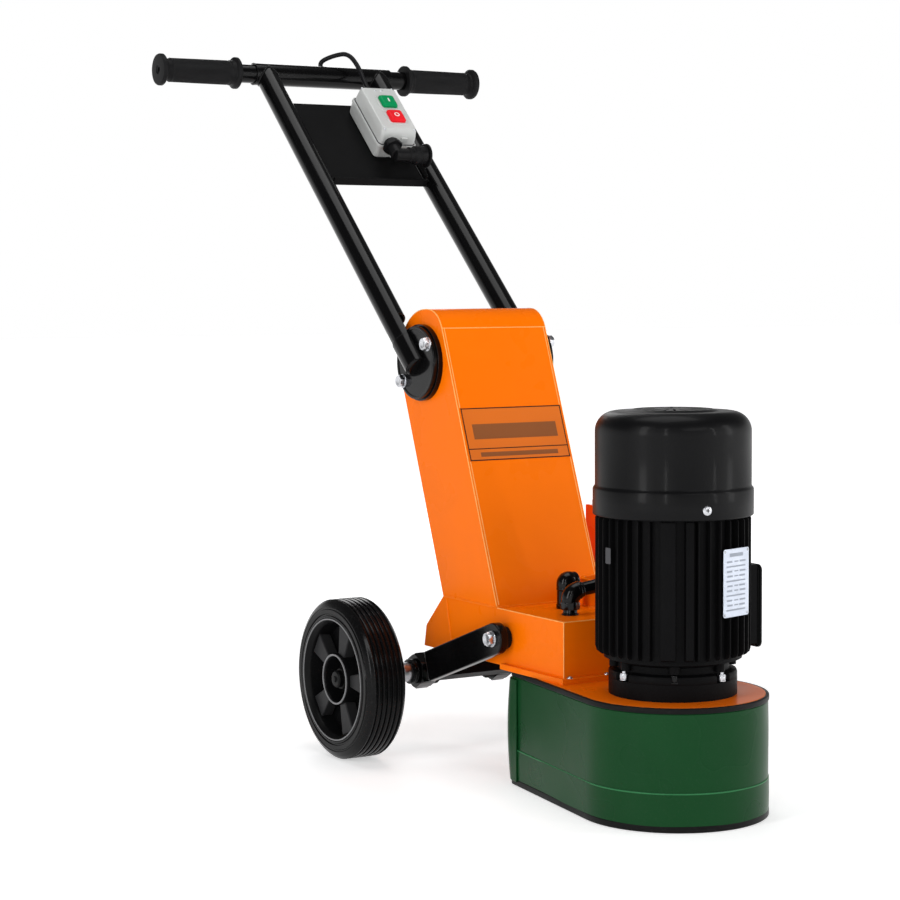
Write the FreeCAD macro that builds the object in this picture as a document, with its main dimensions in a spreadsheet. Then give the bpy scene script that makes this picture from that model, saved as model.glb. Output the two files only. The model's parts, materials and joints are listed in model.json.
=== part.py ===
# Walk-behind floor grinder: a vertical motor drives a 250 mm grinding disc inside a rubber skirt.
# The front of the machine faces -Y, the handle reaches towards +Y, and the floor is Z = 0.
import FreeCAD, Part
import math
import os
import Sketcher
from FreeCAD import Placement, Rotation, Vector

doc = FreeCAD.newDocument("floor_grinder")
sheet = doc.addObject("Spreadsheet::Sheet", "dims")

DIMENSIONS = [
    # motor axis, deck and skirt
    ("motor_y", -463.5), ("deck_radius", 128.7), ("deck_top", 170), ("deck_thick", 8),
    ("tail_half", 91), ("tail_y", -182.5), ("tail_corner", 20),
    ("skirt_thick", 4), ("skirt_seam", 52), ("skirt_foot", 6), ("trim_proud", 5.3),
    # chassis box and flange
    ("box_half", 95), ("box_front", -332.5), ("box_top", 258.4), ("box_floor", 178),
    ("box_rear", 60.5), ("sheet_wall", 5), ("flange_lip", 8),
    # leaning column
    ("column_front", -154.3), ("column_depth", 156), ("column_slope", 0.378),
    ("column_lean", 20.7), ("column_top", 701), ("column_wall", 4),
    ("front_bend", 45), ("rear_bend", 80),
    # handle
    ("pivot_y", 58.5), ("pivot_z", 618), ("handle_angle", 43.5), ("disc_rad", 59.5),
    ("disc_thick", 8), ("plate_thick", 6), ("slot_rad", 48), ("bolt_bearing", -38),
    ("leg_x", 109), ("tube_rad", 19), ("tube_wall", 2.5), ("bar_reach", 706),
    ("cross_half", 132.6), ("grip_rad", 20), ("grip_flange", 27), ("bar_rad", 16),
    ("grip_start", 164), ("grip_end", 310), ("panel_low", 420), ("panel_high", 628),
    ("switch_x", 48), ("switch_z", 543), ("switch_wide", 68), ("switch_tall", 118),
    ("button_size", 26), ("button_pitch", 39),
    ("inlet_z", 450), ("inlet_y", -42), ("inlet_rad", 16), ("inlet_end", 84),
    # motor
    ("body_low", 227), ("body_high", 418), ("body_rad", 99), ("fin_rad", 108), ("bore_rad", 88),
    ("cowl_rad", 110), ("cowl_top", 564), ("shield_rad", 89.4), ("shaft_rad", 12.5),
    ("bearing_rad", 26), ("bearing_wide", 15),
    # grinding disc
    ("disc_low", 14), ("plate_rad", 125), ("disc_plate", 10), ("hub_top", 62),
    # wheels and their frame
    ("axle_y", 110.7), ("axle_z", 125), ("wheel_rad", 125), ("wheel_wide", 70),
    ("wheel_x", 199.6), ("rim_rad", 92), ("axle_rad", 12.5), ("arm_y", -179.5), ("arm_z", 217),
    ("arm_half", 23.5), ("arm_slope", 19.4), ("arm_length", 206), ("arm_in", 105), ("arm_out", 119),
    ("arm_bolt", 10), ("lug_in", 48), ("lug_out", 58), ("lug_half", 17), ("lug_slope", 14),
    # clearances
    ("running_gap", 0.3), ("bore_gap", 0.05),
]


def fill_sheet():
    for row, (alias, value) in enumerate(DIMENSIONS, start=1):
        sheet.set(f"A{row}", alias.replace("_", " "))
        sheet.set(f"B{row}", str(value))
        sheet.setAlias(f"B{row}", alias)
    doc.recompute()


def cells(formula):
    """Sheet names written bare in a formula get their sheet's prefix."""
    words = []
    word = ""
    for letter in str(formula) + " ":
        if letter.isalnum() or letter == "_":
            word += letter
            continue
        words.append(f"dims.{word}" if word in NAMES else word)
        words.append(letter)
        word = ""
    return "".join(words).strip()


NAMES = {alias for alias, value in DIMENSIONS}


def number(formula):
    return float(sheet.evalExpression(cells(formula)))


def bind(thing, **formulas):
    for name, formula in formulas.items():
        thing.setExpression(name, cells(formula))
    return thing


# ---- placing -------------------------------------------------------------------------------

TURNS = {
    "z": Rotation(Vector(0, 0, 1), 0),
    "-z": Rotation(Vector(1, 0, 0), 180),
    "x": Rotation(Vector(0, 1, 0), 90),
    "-x": Rotation(Vector(0, 1, 0), -90),
    "y": Rotation(Vector(1, 0, 0), -90),
    "-y": Rotation(Vector(1, 0, 0), 90),
}


def place(thing, at=("0", "0", "0"), along="z"):
    thing.Placement = Placement(Vector(), TURNS[along])
    for axis, formula in zip("xyz", at):
        thing.setExpression(f"Placement.Base.{axis}", cells(formula))
    return thing


def tilt(thing, at, lean):
    """Placed at a point and leant towards +Y by a formula in degrees."""
    thing.Placement = Placement(Vector(), Rotation(Vector(-1, 0, 0), number(lean)))
    for axis, formula in zip("xyz", at):
        thing.setExpression(f"Placement.Base.{axis}", cells(formula))
    thing.setExpression("Placement.Rotation.Angle", cells(lean))
    return thing


def spin(thing, at, degrees):
    """Placed at a point and turned about Z by a fixed number of degrees."""
    thing.Placement = Placement(Vector(), Rotation(Vector(0, 0, 1), degrees))
    for axis, formula in zip("xyz", at):
        thing.setExpression(f"Placement.Base.{axis}", cells(formula))
    return thing


def on_handle(thing):
    """Handle pieces are drawn upright about the pivot: local Z runs up the legs, local -Y is the face."""
    return tilt(thing, ("0", "pivot_y", "pivot_z"), "90 - handle_angle")


def on_column(thing):
    """Column plates are drawn upright at the foot of the front face, which leans back."""
    return tilt(thing, ("0", "column_front", "box_top"), "column_lean")


def on_arm(thing):
    """Arm pieces are drawn level about the arm's pivot: local Y runs out to the axle."""
    return tilt(thing, ("0", "arm_y", "arm_z"), "arm_slope")


# ---- solids --------------------------------------------------------------------------------

def cylinder(radius, length, at=("0", "0", "0"), along="z", angle="360"):
    rod = doc.addObject("Part::Cylinder", "rod")
    bind(rod, Radius=radius, Height=length, Angle=angle)
    return place(rod, at, along)


def block(low, high):
    """Box between two corners given as formulas."""
    box = doc.addObject("Part::Box", "box")
    bind(box, Length=f"({high[0]}) - ({low[0]})", Width=f"({high[1]}) - ({low[1]})",
         Height=f"({high[2]}) - ({low[2]})")
    return place(box, low)


def hexagon(flats, length, at, along):
    prism = doc.addObject("Part::Prism", "hexagon")
    prism.Polygon = 6
    bind(prism, Circumradius=f"({flats}) / 2 / cos(30)", Height=length)
    return place(prism, at, along)


def cut(base, *tools):
    tool = tools[0] if len(tools) == 1 else fuse(*tools)
    result = doc.addObject("Part::Cut", "cut")
    result.Base = base
    result.Tool = tool
    return result


def fuse(*shapes):
    result = doc.addObject("Part::MultiFuse", "fuse")
    result.Shapes = list(shapes)
    return result


def group(*shapes):
    """Separate solids that share one node, such as a set of identical screws."""
    result = doc.addObject("Part::Compound", "group")
    result.Links = list(shapes)
    return result


def ring(outer, inner, length, at=("0", "0", "0"), along="z"):
    return cut(cylinder(outer, length, at, along), cylinder(inner, length, at, along))


def new_body(name):
    return doc.addObject("PartDesign::Body", name)


def sketch_on(body, role, name):
    sketch = body.newObject("Sketcher::SketchObject", name)
    plane = next(item for item in body.Origin.OriginFeatures if item.Role == role)
    sketch.AttachmentSupport = (plane, [""])
    sketch.MapMode = "FlatFace"
    return sketch


def outline(sketch, points):
    """Closed outline whose corners are held by formulas measured from the sketch's origin."""
    first = sketch.GeometryCount
    spots = [Vector(number(across), number(up), 0) for across, up in points]
    count = len(spots)
    for index, spot in enumerate(spots):
        sketch.addGeometry(Part.LineSegment(spot, spots[(index + 1) % count]))
    for index in range(count):
        follower = first + (index + 1) % count
        sketch.addConstraint(Sketcher.Constraint("Coincident", first + index, 2, follower, 1))
    for index, (across, up) in enumerate(points):
        for kind, formula in (("DistanceX", across), ("DistanceY", up)):
            rule = Sketcher.Constraint(kind, -1, 1, first + index, 1, number(formula))
            sketch.setExpression(f"Constraints[{sketch.addConstraint(rule)}]", cells(formula))
    return sketch


def circle(sketch, radius, x="0", y="0"):
    centre = Vector(number(x), number(y), 0)
    index = sketch.addGeometry(Part.Circle(centre, Vector(0, 0, 1), number(radius)))
    rules = (
        (Sketcher.Constraint("Radius", index, number(radius)), radius),
        (Sketcher.Constraint("DistanceX", -1, 1, index, 3, number(x)), x),
        (Sketcher.Constraint("DistanceY", -1, 1, index, 3, number(y)), y),
    )
    for rule, formula in rules:
        sketch.setExpression(f"Constraints[{sketch.addConstraint(rule)}]", cells(formula))
    return sketch


def rectangle(sketch, left, right, low, high):
    return outline(sketch, [(left, low), (right, low), (right, high), (left, high)])


def pad(body, sketch, length, both_sides=False):
    feature = body.newObject("PartDesign::Pad", "pad")
    feature.Profile = sketch
    feature.Midplane = both_sides
    bind(feature, Length=length)
    doc.recompute()
    return feature


def pocket(body, sketch, length, both_sides=False):
    """Cuts to the sketch's back side, or to its front when nothing lies behind it."""
    before = body.Shape.Volume
    feature = body.newObject("PartDesign::Pocket", "pocket")
    feature.Profile = sketch
    feature.Midplane = both_sides
    bind(feature, Length=length)
    doc.recompute()
    if body.Shape.Volume > before - 1:
        feature.Reversed = True
        doc.recompute()
    if body.Shape.Volume > before - 1:
        raise ValueError(f"{body.Label}: a pocket cuts nothing")
    return feature


def around(body, feature, count, angle=360):
    """Repeats a feature about the body's Z axis."""
    pattern = body.newObject("PartDesign::PolarPattern", "pattern")
    pattern.Originals = [feature]
    axis = next(item for item in body.Origin.OriginFeatures if item.Role == "Z_Axis")
    pattern.Axis = (axis, [""])
    pattern.Angle = angle
    pattern.Occurrences = count
    body.Tip = pattern
    doc.recompute()
    return pattern


def turned(name, profile):
    """Body turned about Z from a half profile of (radius, height) corners."""
    body = new_body(name)
    sketch = outline(sketch_on(body, "XZ_Plane", "half_profile"), profile)
    feature = body.newObject("PartDesign::Revolution", "turning")
    feature.Profile = sketch
    feature.ReferenceAxis = (sketch, ["V_Axis"])
    feature.Angle = 360
    doc.recompute()
    return body


def on_motor_axis(thing):
    return place(thing, ("0", "motor_y", "0"))


# ---- deck and skirt ------------------------------------------------------------------------

def teardrop(sketch, grow):
    """Deck outline grown outwards: a round nose, straight flanks and a narrower tail."""
    nose = number(f"deck_radius + ({grow})")
    corner = number(f"tail_corner + ({grow})")
    nose_at = Vector(0, number("motor_y"), 0)
    tail_x = number("tail_half - tail_corner")
    tail_y = number("tail_y - tail_corner")
    right_at = Vector(tail_x, tail_y, 0)
    left_at = Vector(-tail_x, tail_y, 0)
    reach = right_at - nose_at
    lean = math.atan2(reach.y, reach.x) - math.acos((nose - corner) / reach.Length)
    outward = Vector(math.cos(lean), math.sin(lean), 0)
    mirrored = Vector(-outward.x, outward.y, 0)
    rear = Vector(0, 1, 0)

    def arc(centre, radius, start, end):
        first_angle = math.atan2(start.y, start.x)
        last_angle = math.atan2(end.y, end.x)
        if last_angle < first_angle:
            last_angle += 2 * math.pi
        return Part.ArcOfCircle(Part.Circle(centre, Vector(0, 0, 1), radius), first_angle, last_angle)

    first = sketch.GeometryCount
    sketch.addGeometry(arc(nose_at, nose, mirrored, outward))
    sketch.addGeometry(Part.LineSegment(nose_at + outward * nose, right_at + outward * corner))
    sketch.addGeometry(arc(right_at, corner, outward, rear))
    sketch.addGeometry(Part.LineSegment(right_at + rear * corner, left_at + rear * corner))
    sketch.addGeometry(arc(left_at, corner, rear, mirrored))
    sketch.addGeometry(Part.LineSegment(left_at + mirrored * corner, nose_at + mirrored * nose))
    joints = ((0, 2, 1, 1), (1, 2, 2, 1), (2, 2, 3, 1), (3, 2, 4, 1), (4, 2, 5, 1), (5, 2, 0, 1))
    for one, one_end, other, other_end in joints:
        rule = Sketcher.Constraint("Tangent", first + one, one_end, first + other, other_end)
        sketch.addConstraint(rule)
    held = (
        (0, f"deck_radius + ({grow})", "0", "motor_y"),
        (2, f"tail_corner + ({grow})", "tail_half - tail_corner", "tail_y - tail_corner"),
        (4, f"tail_corner + ({grow})", "tail_corner - tail_half", "tail_y - tail_corner"),
    )
    for index, radius, x, y in held:
        edge = first + index
        rules = (
            (Sketcher.Constraint("Radius", edge, number(radius)), radius),
            (Sketcher.Constraint("DistanceX", -1, 1, edge, 3, number(x)), x),
            (Sketcher.Constraint("DistanceY", -1, 1, edge, 3, number(y)), y),
        )
        for rule, formula in rules:
            sketch.setExpression(f"Constraints[{sketch.addConstraint(rule)}]", cells(formula))
    return sketch


def band(name, inner, outer, low, high):
    """Upright wall that follows the deck outline between two offsets."""
    body = new_body(name)
    sketch = sketch_on(body, "XY_Plane", "wall_outline")
    teardrop(sketch, outer)
    teardrop(sketch, inner)
    pad(body, sketch, f"({high}) - ({low})")
    return place(body, ("0", "0", low))


def deck_plate():
    body = new_body("deck")
    sketch = teardrop(sketch_on(body, "XY_Plane", "deck_outline"), "0")
    circle(sketch, "60", "0", "motor_y")
    pad(body, sketch, "deck_thick")
    return place(body, ("0", "0", "deck_top - deck_thick"))


def skirt_upper():
    return band("skirt_wall", "0", "skirt_thick", "skirt_seam", "deck_top - deck_thick")


def skirt_lower():
    return band("skirt_band", "1.3", "trim_proud", "skirt_foot", "skirt_seam")


def skirt_trims():
    top = band("top_trim", "0", "trim_proud", "deck_top - deck_thick", "deck_top")
    foot = band("foot_trim", "1.3", "trim_proud", "1", "skirt_foot")
    return group(top, foot)


# ---- chassis box and column ----------------------------------------------------------------

def chassis_box():
    """Folded sheet box, open below, with a raked tail and holes for the arm bolts and the dust port."""
    body = new_body("box_shell")
    outer = [("box_front", "box_floor"), ("box_front", "box_top"),
             ("column_front + column_depth", "box_top"), ("box_rear - 7", "box_top - 51"),
             ("box_rear", "box_floor - 4"), ("tail_y + 10", "box_floor - 4"), ("tail_y + 10", "box_floor")]
    pad(body, outline(sketch_on(body, "YZ_Plane", "side"), outer), "box_half * 2", True)
    inner = [("box_front + sheet_wall", "box_floor - 20"),
             ("box_front + sheet_wall", "box_top - sheet_wall"),
             ("column_front + column_depth - 2", "box_top - sheet_wall"),
             ("box_rear - 12", "box_top - 52"), ("box_rear - 7", "box_floor - 20")]
    hollow = outline(sketch_on(body, "YZ_Plane", "cavity"), inner)
    pocket(body, hollow, "(box_half - sheet_wall) * 2", True)
    bolt_hole = cylinder("arm_bolt", "box_half * 2 + 20", ("-box_half - 10", "arm_y", "arm_z"), "x")
    dust_hole = cylinder("27", "20", ("55", "-213.5", "box_top - 10"))
    return cut(body, bolt_hole, dust_hole)


def chassis_flange():
    body = new_body("flange")
    sketch = sketch_on(body, "XY_Plane", "frame")
    rectangle(sketch, "-box_half - flange_lip", "box_half + flange_lip",
              "box_front - flange_lip - 1", "tail_y + 8")
    rectangle(sketch, "-box_half + 14", "box_half - 14", "box_front + 12", "tail_y - 14")
    pad(body, sketch, "box_floor - deck_top")
    return place(body, ("0", "0", "deck_top"))


def flange_screws():
    screws = [cylinder("4.4", "4", (x, "box_front - 4.8", "box_floor")) for x in ("-88", "-24", "24", "88")]
    return group(*screws)


def column_solid(inset):
    """Leaning box with two rounded top bends; inset shrinks it on all sides."""
    body = new_body("column_core")
    skew = f"({inset}) * 1.069"
    rise = f"(column_top - ({inset}) - box_top)"
    foot = "box_top"
    points = [
        (f"column_front + {skew}", foot),
        (f"column_front + {skew} + column_slope * {rise}", f"column_top - ({inset})"),
        (f"column_front + column_depth - {skew} + column_slope * {rise}", f"column_top - ({inset})"),
        (f"column_front + column_depth - {skew}", foot),
    ]
    sketch = outline(sketch_on(body, "YZ_Plane", "side"), points)
    block_pad = pad(body, sketch, f"(box_half - ({inset})) * 2", True)
    for corner, bend in ((points[1], "front_bend"), (points[2], "rear_bend")):
        bend_edges(body, corner, f"{bend} - ({inset})")
    return body


def bend_edges(body, corner, radius):
    """Rounds the edge along X that runs through one corner of the side outline."""
    y, z = (number(value) for value in corner)
    names = []
    for index, edge in enumerate(body.Shape.Edges, start=1):
        middle = edge.CenterOfMass
        if abs(middle.x) < 0.01 and math.hypot(middle.y - y, middle.z - z) < 0.5:
            names.append(f"Edge{index}")
    flat = body.Tip
    feature = body.newObject("PartDesign::Fillet", "bend")
    feature.Base = (flat, names)
    bind(feature, Radius=radius)
    doc.recompute()


def column_shell():
    rear = "column_depth * 0.935"
    window = block(("-70", f"{rear} - 10", "90"), ("70", f"{rear} + 10", "290"))
    return cut(column_solid("0"), column_solid("column_wall"), on_column(group(window)))


def column_rear_cover():
    rear = "column_depth * 0.935 + 0.2"
    cover = block(("-80", rear, "78"), ("80", f"{rear} + 3", "302"))
    screws = []
    for x in ("-73", "73"):
        for z in ("86", "190", "294"):
            screws.append(cylinder("4.5", "2.6", (x, f"{rear} + 3", z), "y"))
    return on_column(fuse(cover, *screws))


def column_label():
    return on_column(group(block(("-90.5", "-1.2", "228"), ("90.5", "0", "312"))))


def arc_slot(x, bearing, sweep):
    """Curved slot cutter through a pivot disc, from a bearing counted from +Y towards +Z."""
    outer = cylinder("slot_rad + 7.5", "disc_thick + 4", angle=str(sweep))
    inner = cylinder("slot_rad - 7.5", "disc_thick + 4", angle=str(sweep))
    slot = cut(outer, inner)
    turn = Rotation(Vector(1, 0, 0), bearing).multiply(Rotation(Vector(1, 1, 1), 120))
    slot.Placement = Placement(Vector(), turn)
    for axis, formula in zip("xyz", (x, "pivot_y", "pivot_z")):
        slot.setExpression(f"Placement.Base.{axis}", cells(formula))
    return slot


def pivot_discs():
    """Fixed discs on the column sides, each with a centre bore and two curved slots for the clamp bolts."""
    discs = []
    for start in ("box_half", "-box_half - disc_thick"):
        disc = cylinder("disc_rad", "disc_thick", (start, "pivot_y", "pivot_z"), "x")
        bore = cylinder("10", "disc_thick", (start, "pivot_y", "pivot_z"), "x")
        slots = [arc_slot(f"{start} - 2", number("bolt_bearing") + turn - 27, 84) for turn in (0, 180)]
        discs.append(cut(disc, bore, *slots))
    return group(*discs)


def cable_cleat():
    """Bent strip on the column's right side that the mains lead is wound over."""
    foot = block(("box_half", "-84", "300"), ("145", "-44", "305"))
    upright = block(("140", "-84", "305"), ("145", "-44", "392"))
    return fuse(foot, upright)


def dust_port():
    pipe = cylinder("30", "40", ("55", "-213.5", "box_top"))
    rim = cylinder("34", "8", ("55", "-213.5", "box_top + 34"))
    return cut(fuse(pipe, rim), cylinder("27", "60", ("55", "-213.5", "box_top - 5")))


def angle_gland():
    """Right-angled cable gland on the box top: neck, nut, round elbow and outlet."""
    at = ("-45", "-274.5")
    neck = cylinder("10.5", "8", (*at, "box_top"))
    nut = cylinder("13.5", "22", (*at, "box_top + 8"))
    elbow = doc.addObject("Part::Sphere", "elbow")
    bind(elbow, Radius="13.5")
    place(elbow, (*at, "box_top + 30"))
    outlet = cylinder("10", "46", along="x")
    rise = Rotation(Vector(0, 0, 1), -14).multiply(Rotation(Vector(0, 1, 0), -22))
    outlet.Placement = Placement(Vector(), rise.multiply(TURNS["x"]))
    for axis, formula in zip("xyz", (*at, "box_top + 32")):
        outlet.setExpression(f"Placement.Base.{axis}", cells(formula))
    return fuse(neck, nut, elbow, outlet)


def blank_elbow():
    """Second, unused outlet behind the gland, closed by its own plug."""
    at = ("-24", "-214")
    stem = cylinder("15", "39", (*at, "box_top"))
    bend = doc.addObject("Part::Sphere", "bend")
    bind(bend, Radius="15")
    place(bend, (*at, "box_top + 39"))
    end = cylinder("15", "16", (*at, "box_top + 39"), "x")
    return fuse(stem, bend, end)


# ---- cords ---------------------------------------------------------------------------------

def cord_path(points, label):
    """Straight runs joined by tangent arcs, each as large as its two runs allow."""
    spots = [Vector(*point) for point in points]
    edges = []
    start = spots[0]
    radii = []
    for before, corner, after in zip(spots, spots[1:], spots[2:]):
        inward = (before - corner).normalize()
        outward = (after - corner).normalize()
        shorter = min((before - corner).Length, (after - corner).Length)
        half_turn = (math.pi - inward.getAngle(outward)) / 2
        setback = 0.45 * shorter
        radius = setback / math.tan(half_turn)
        radii.append(round(radius, 1))
        first = corner + inward * setback
        last = corner + outward * setback
        middle_way = (inward + outward).normalize()
        centre_distance = radius / math.cos(half_turn)
        middle = corner + middle_way * (centre_distance - radius)
        edges.append(Part.LineSegment(start, first).toShape())
        edges.append(Part.Arc(first, middle, last).toShape())
        start = last
    edges.append(Part.LineSegment(start, spots[-1]).toShape())
    print(label, "radii", radii)
    return Part.Wire(edges)


def cord(points, radius, label):
    path = cord_path(points, label)
    direction = Vector(*points[1]) - Vector(*points[0])
    section = Part.Wire(Part.Circle(Vector(*points[0]), direction, radius).toShape())
    tube = path.makePipeShell([section], True, True)
    expected = math.pi * radius ** 2 * path.Length
    print(label, "length", round(path.Length, 1), "volume ratio", round(tube.Volume / expected, 3))
    feature = doc.addObject("Part::Feature", "cord")
    feature.Shape = tube
    return feature


MOTOR_LEAD = [(-3.62, -284.82, 307.63), (37.77, -295.14, 324.86), (84, -310, 322),
              (107.6, -356, 288), (107.6, -421.5, 288)]
CONTROL_LEAD = [(52, -33, 607.8), (52, -33, 648), (53, -40, 690), (44, -43, 722), (28, -27, 735),
                (11, -8, 742), (9, 0, 736), (9, 0, 725)]


def motor_cable():
    return cord(MOTOR_LEAD, 5.5, "motor cable")


def control_cable():
    """Loops out of the switch box, over the cross tube and into its back."""
    return on_handle(cord(CONTROL_LEAD, 4, "control cable"))


# ---- motor ---------------------------------------------------------------------------------

def motor_housing():
    """Finned cast body with a flat seat for the terminal box."""
    body = new_body("housing")
    pad(body, circle(sketch_on(body, "XY_Plane", "body_circle"), "body_rad"), "body_high - body_low")
    seat = rectangle(sketch_on(body, "XY_Plane", "seat"), "70", "body_rad + 0.5", "-36", "36")
    pad(body, seat, "body_high - body_low - 70")
    fin_shape = rectangle(sketch_on(body, "XY_Plane", "fin"), "body_rad - 3", "fin_rad", "-1.3", "1.3")
    fin_shape.AttachmentOffset = Placement(Vector(), Rotation(Vector(0, 0, 1), 26))
    fin = pad(body, fin_shape, "body_high - body_low")
    around(body, fin, 34, 308)
    bore = circle(sketch_on(body, "XY_Plane", "bore"), "bore_rad")
    pocket(body, bore, "(body_high - body_low) * 2 + 10", True)
    return place(body, ("0", "motor_y", "body_low"))


def stator():
    return on_motor_axis(turned("windings", [
        ("60", "body_low + 25"), ("bore_rad - 0.1", "body_low + 25"),
        ("bore_rad - 0.1", "body_high - 25"), ("60", "body_high - 25")]))


def upper_shield():
    """Top end shield: the lip closes the body and the hub holds the upper bearing."""
    return on_motor_axis(turned("top_shield", [
        ("bearing_rad", "body_high - 12"), ("bearing_rad + 7", "body_high - 12"),
        ("bearing_rad + 7", "body_high"), ("fin_rad - 3", "body_high"), ("fin_rad - 3", "body_high + 9"),
        ("bearing_rad", "body_high + 9")]))


def at_bearings(bearings, radius, z, maker):
    """Copies of a part about the motor axis, one at each bearing."""
    return [spin(maker(f"({radius})"), ("0", "motor_y", z), bearing) for bearing in bearings]


FOOT_BOLTS = (2, 105, 182, 285)
BODY_LUGS = (2, 55, 105, 152, 182, 235, 285, 332)


def lower_shield():
    """Bottom end shield: a foot ring on the deck, a narrower neck and lugs up to the body."""
    shell = on_motor_axis(turned("foot_shield", [
        ("bearing_rad", "body_low - 14"), ("bearing_rad + 8", "body_low - 14"),
        ("bearing_rad + 8", "body_low - 7"), ("shield_rad - 16", "body_low - 7"),
        ("shield_rad - 16", "deck_top + 14"), ("68", "deck_top + 8"), ("68", "deck_top"),
        ("shield_rad", "deck_top"), ("shield_rad", "deck_top + 23"), ("shield_rad - 11", "deck_top + 24"),
        ("shield_rad - 11", "body_low - 12"), ("body_rad - 3", "body_low - 6"),
        ("body_rad - 3", "body_low"), ("bearing_rad", "body_low")]))

    def lug(radius):
        return group(cylinder("7.5", "body_low - deck_top - 38", (radius, "0", "0")))

    return fuse(shell, *at_bearings(BODY_LUGS, "shield_rad - 8", "deck_top + 38", lug))


def polar(count, start, radius, z, maker):
    """Copies of a part on a circle about the motor axis, at even angles from a start bearing."""
    bearings = [start + index * 360 / count for index in range(count)]
    return at_bearings(bearings, radius, z, maker)


def motor_fasteners():
    """Nuts on the foot ring and four pan-head screws around the cowl band."""
    def foot_bolt(radius):
        washer = cylinder("6", "1.6", (radius, "0", "0"))
        nut = hexagon("10", "8", (radius, "0", "1.6"), "z")
        return group(fuse(washer, nut))

    def band_screw(radius):
        return group(cylinder("7.5", "3.4", (radius, "0", "0"), "x"))

    bolts = at_bearings(FOOT_BOLTS, "shield_rad - 4.5", "deck_top + 24", foot_bolt)
    screws = polar(4, -102, "cowl_rad", "body_high + 15", band_screw)
    return group(*bolts, *screws)


def fan_cowl():
    """Drawn steel cowl: wide band below, straight wall, rounded shoulder and a slotted top."""
    body = turned("cowl", [
        ("cowl_rad - 2", "body_high + 2"), ("cowl_rad", "body_high + 2"), ("cowl_rad", "body_high + 38"),
        ("cowl_rad - 3", "body_high + 41"), ("cowl_rad - 3", "cowl_top - 30"),
        ("cowl_rad - 6", "cowl_top - 17"), ("cowl_rad - 15", "cowl_top - 7"),
        ("cowl_rad - 28", "cowl_top - 3"),
        ("62", "cowl_top - 3"), ("60", "cowl_top"), ("0", "cowl_top"), ("0", "cowl_top - 2"),
        ("58", "cowl_top - 2"), ("60", "cowl_top - 5"), ("cowl_rad - 29", "cowl_top - 5"),
        ("cowl_rad - 17", "cowl_top - 9"), ("cowl_rad - 8", "cowl_top - 18"),
        ("cowl_rad - 5", "cowl_top - 30"), ("cowl_rad - 5", "body_high + 39"),
        ("cowl_rad - 2", "body_high + 36")])
    slot = rectangle(sketch_on(body, "XY_Plane", "air_slot"), "26", "54", "-2.5", "2.5")
    slot.AttachmentOffset = Placement(Vector(0, 0, number("cowl_top + 5")), Rotation())
    cutter = pocket(body, slot, "14")
    around(body, cutter, 20)
    return on_motor_axis(body)


def data_plate():
    plate = block(("fin_rad + 0.4", "-28.5", "286"), ("fin_rad + 1.6", "28.5", "379"))
    rivets = []
    for y in ("-25", "25"):
        for z in ("290", "375"):
            rivets.append(cylinder("1.8", "1", ("fin_rad + 1.6", y, z), "x"))
    return spin(fuse(plate, *rivets), ("0", "motor_y", "0"), -75)


def terminal_box():
    outer = block(("body_rad + 0.5", "-36", "232"), ("120", "36", "344"))
    inner = block(("body_rad + 4", "-32", "236"), ("124", "32", "340"))
    entry = cylinder("8", "6", ("107.6", "36", "288"), "y")
    return on_motor_axis(fuse(cut(outer, inner), entry))


def terminal_lid():
    lid = block(("120", "-38.5", "229"), ("127", "38.5", "347"))
    screws = [cylinder("3.5", "1.6", ("127", y, z), "x") for y in ("-32", "32") for z in ("236", "340")]
    return on_motor_axis(fuse(lid, *screws))


def motor_bearings():
    low = ring("bearing_rad", "shaft_rad + bore_gap", "bearing_wide", ("0", "motor_y", "body_low - 13"))
    high = ring("bearing_rad", "shaft_rad + bore_gap", "bearing_wide", ("0", "motor_y", "body_high - 8"))
    return group(low, high)


def rotor():
    return on_motor_axis(turned("rotor_core", [
        ("16", "body_low + 28"), ("59.4", "body_low + 28"), ("59.4", "body_high - 28"),
        ("16", "body_high - 28")]))


def motor_shaft():
    return on_motor_axis(turned("shaft", [
        ("0", "disc_low + disc_plate"), ("shaft_rad", "disc_low + disc_plate"),
        ("shaft_rad", "body_low + 10"), ("16", "body_low + 10"), ("16", "body_high - 14"),
        ("shaft_rad", "body_high - 14"), ("shaft_rad", "body_high + 16"), ("9", "body_high + 16"),
        ("9", "body_high + 52"), ("0", "body_high + 52")]))


def cooling_fan():
    body = turned("fan", [
        ("9", "20"), ("18", "20"), ("18", "28"), ("84", "28"), ("84", "31"), ("18", "31"), ("18", "46"),
        ("9", "46")])
    blade = rectangle(sketch_on(body, "XY_Plane", "blade"), "26", "82", "-1.5", "1.5")
    blade.AttachmentOffset = Placement(Vector(0, 0, 30), Rotation())
    around(body, pad(body, blade, "22"), 9)
    return place(body, ("0", "motor_y", "body_high"))


# ---- grinding disc -------------------------------------------------------------------------

def bolt_circle(radius, low, length):
    bolts = []
    for bearing in (90, 210, 330):
        x = f"40 * cos({bearing})"
        y = f"motor_y + 40 * sin({bearing})"
        bolts.append(cylinder(radius, length, (x, y, low)))
    return bolts


def drive_hub():
    hub = on_motor_axis(turned("hub", [
        ("shaft_rad", "disc_low + disc_plate"), ("52", "disc_low + disc_plate"),
        ("52", "disc_low + disc_plate + 10"), ("26", "disc_low + disc_plate + 14"), ("26", "hub_top"),
        ("shaft_rad", "hub_top")]))
    return cut(hub, *bolt_circle("5", "disc_low", "30"))


def grinding_disc():
    plate = on_motor_axis(turned("plate", [
        ("0", "disc_low"), ("plate_rad - 2", "disc_low"), ("plate_rad", "disc_low + 2"),
        ("plate_rad", "disc_low + disc_plate"), ("0", "disc_low + disc_plate")]))
    return cut(plate, *bolt_circle("5", "0", "60"))


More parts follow.
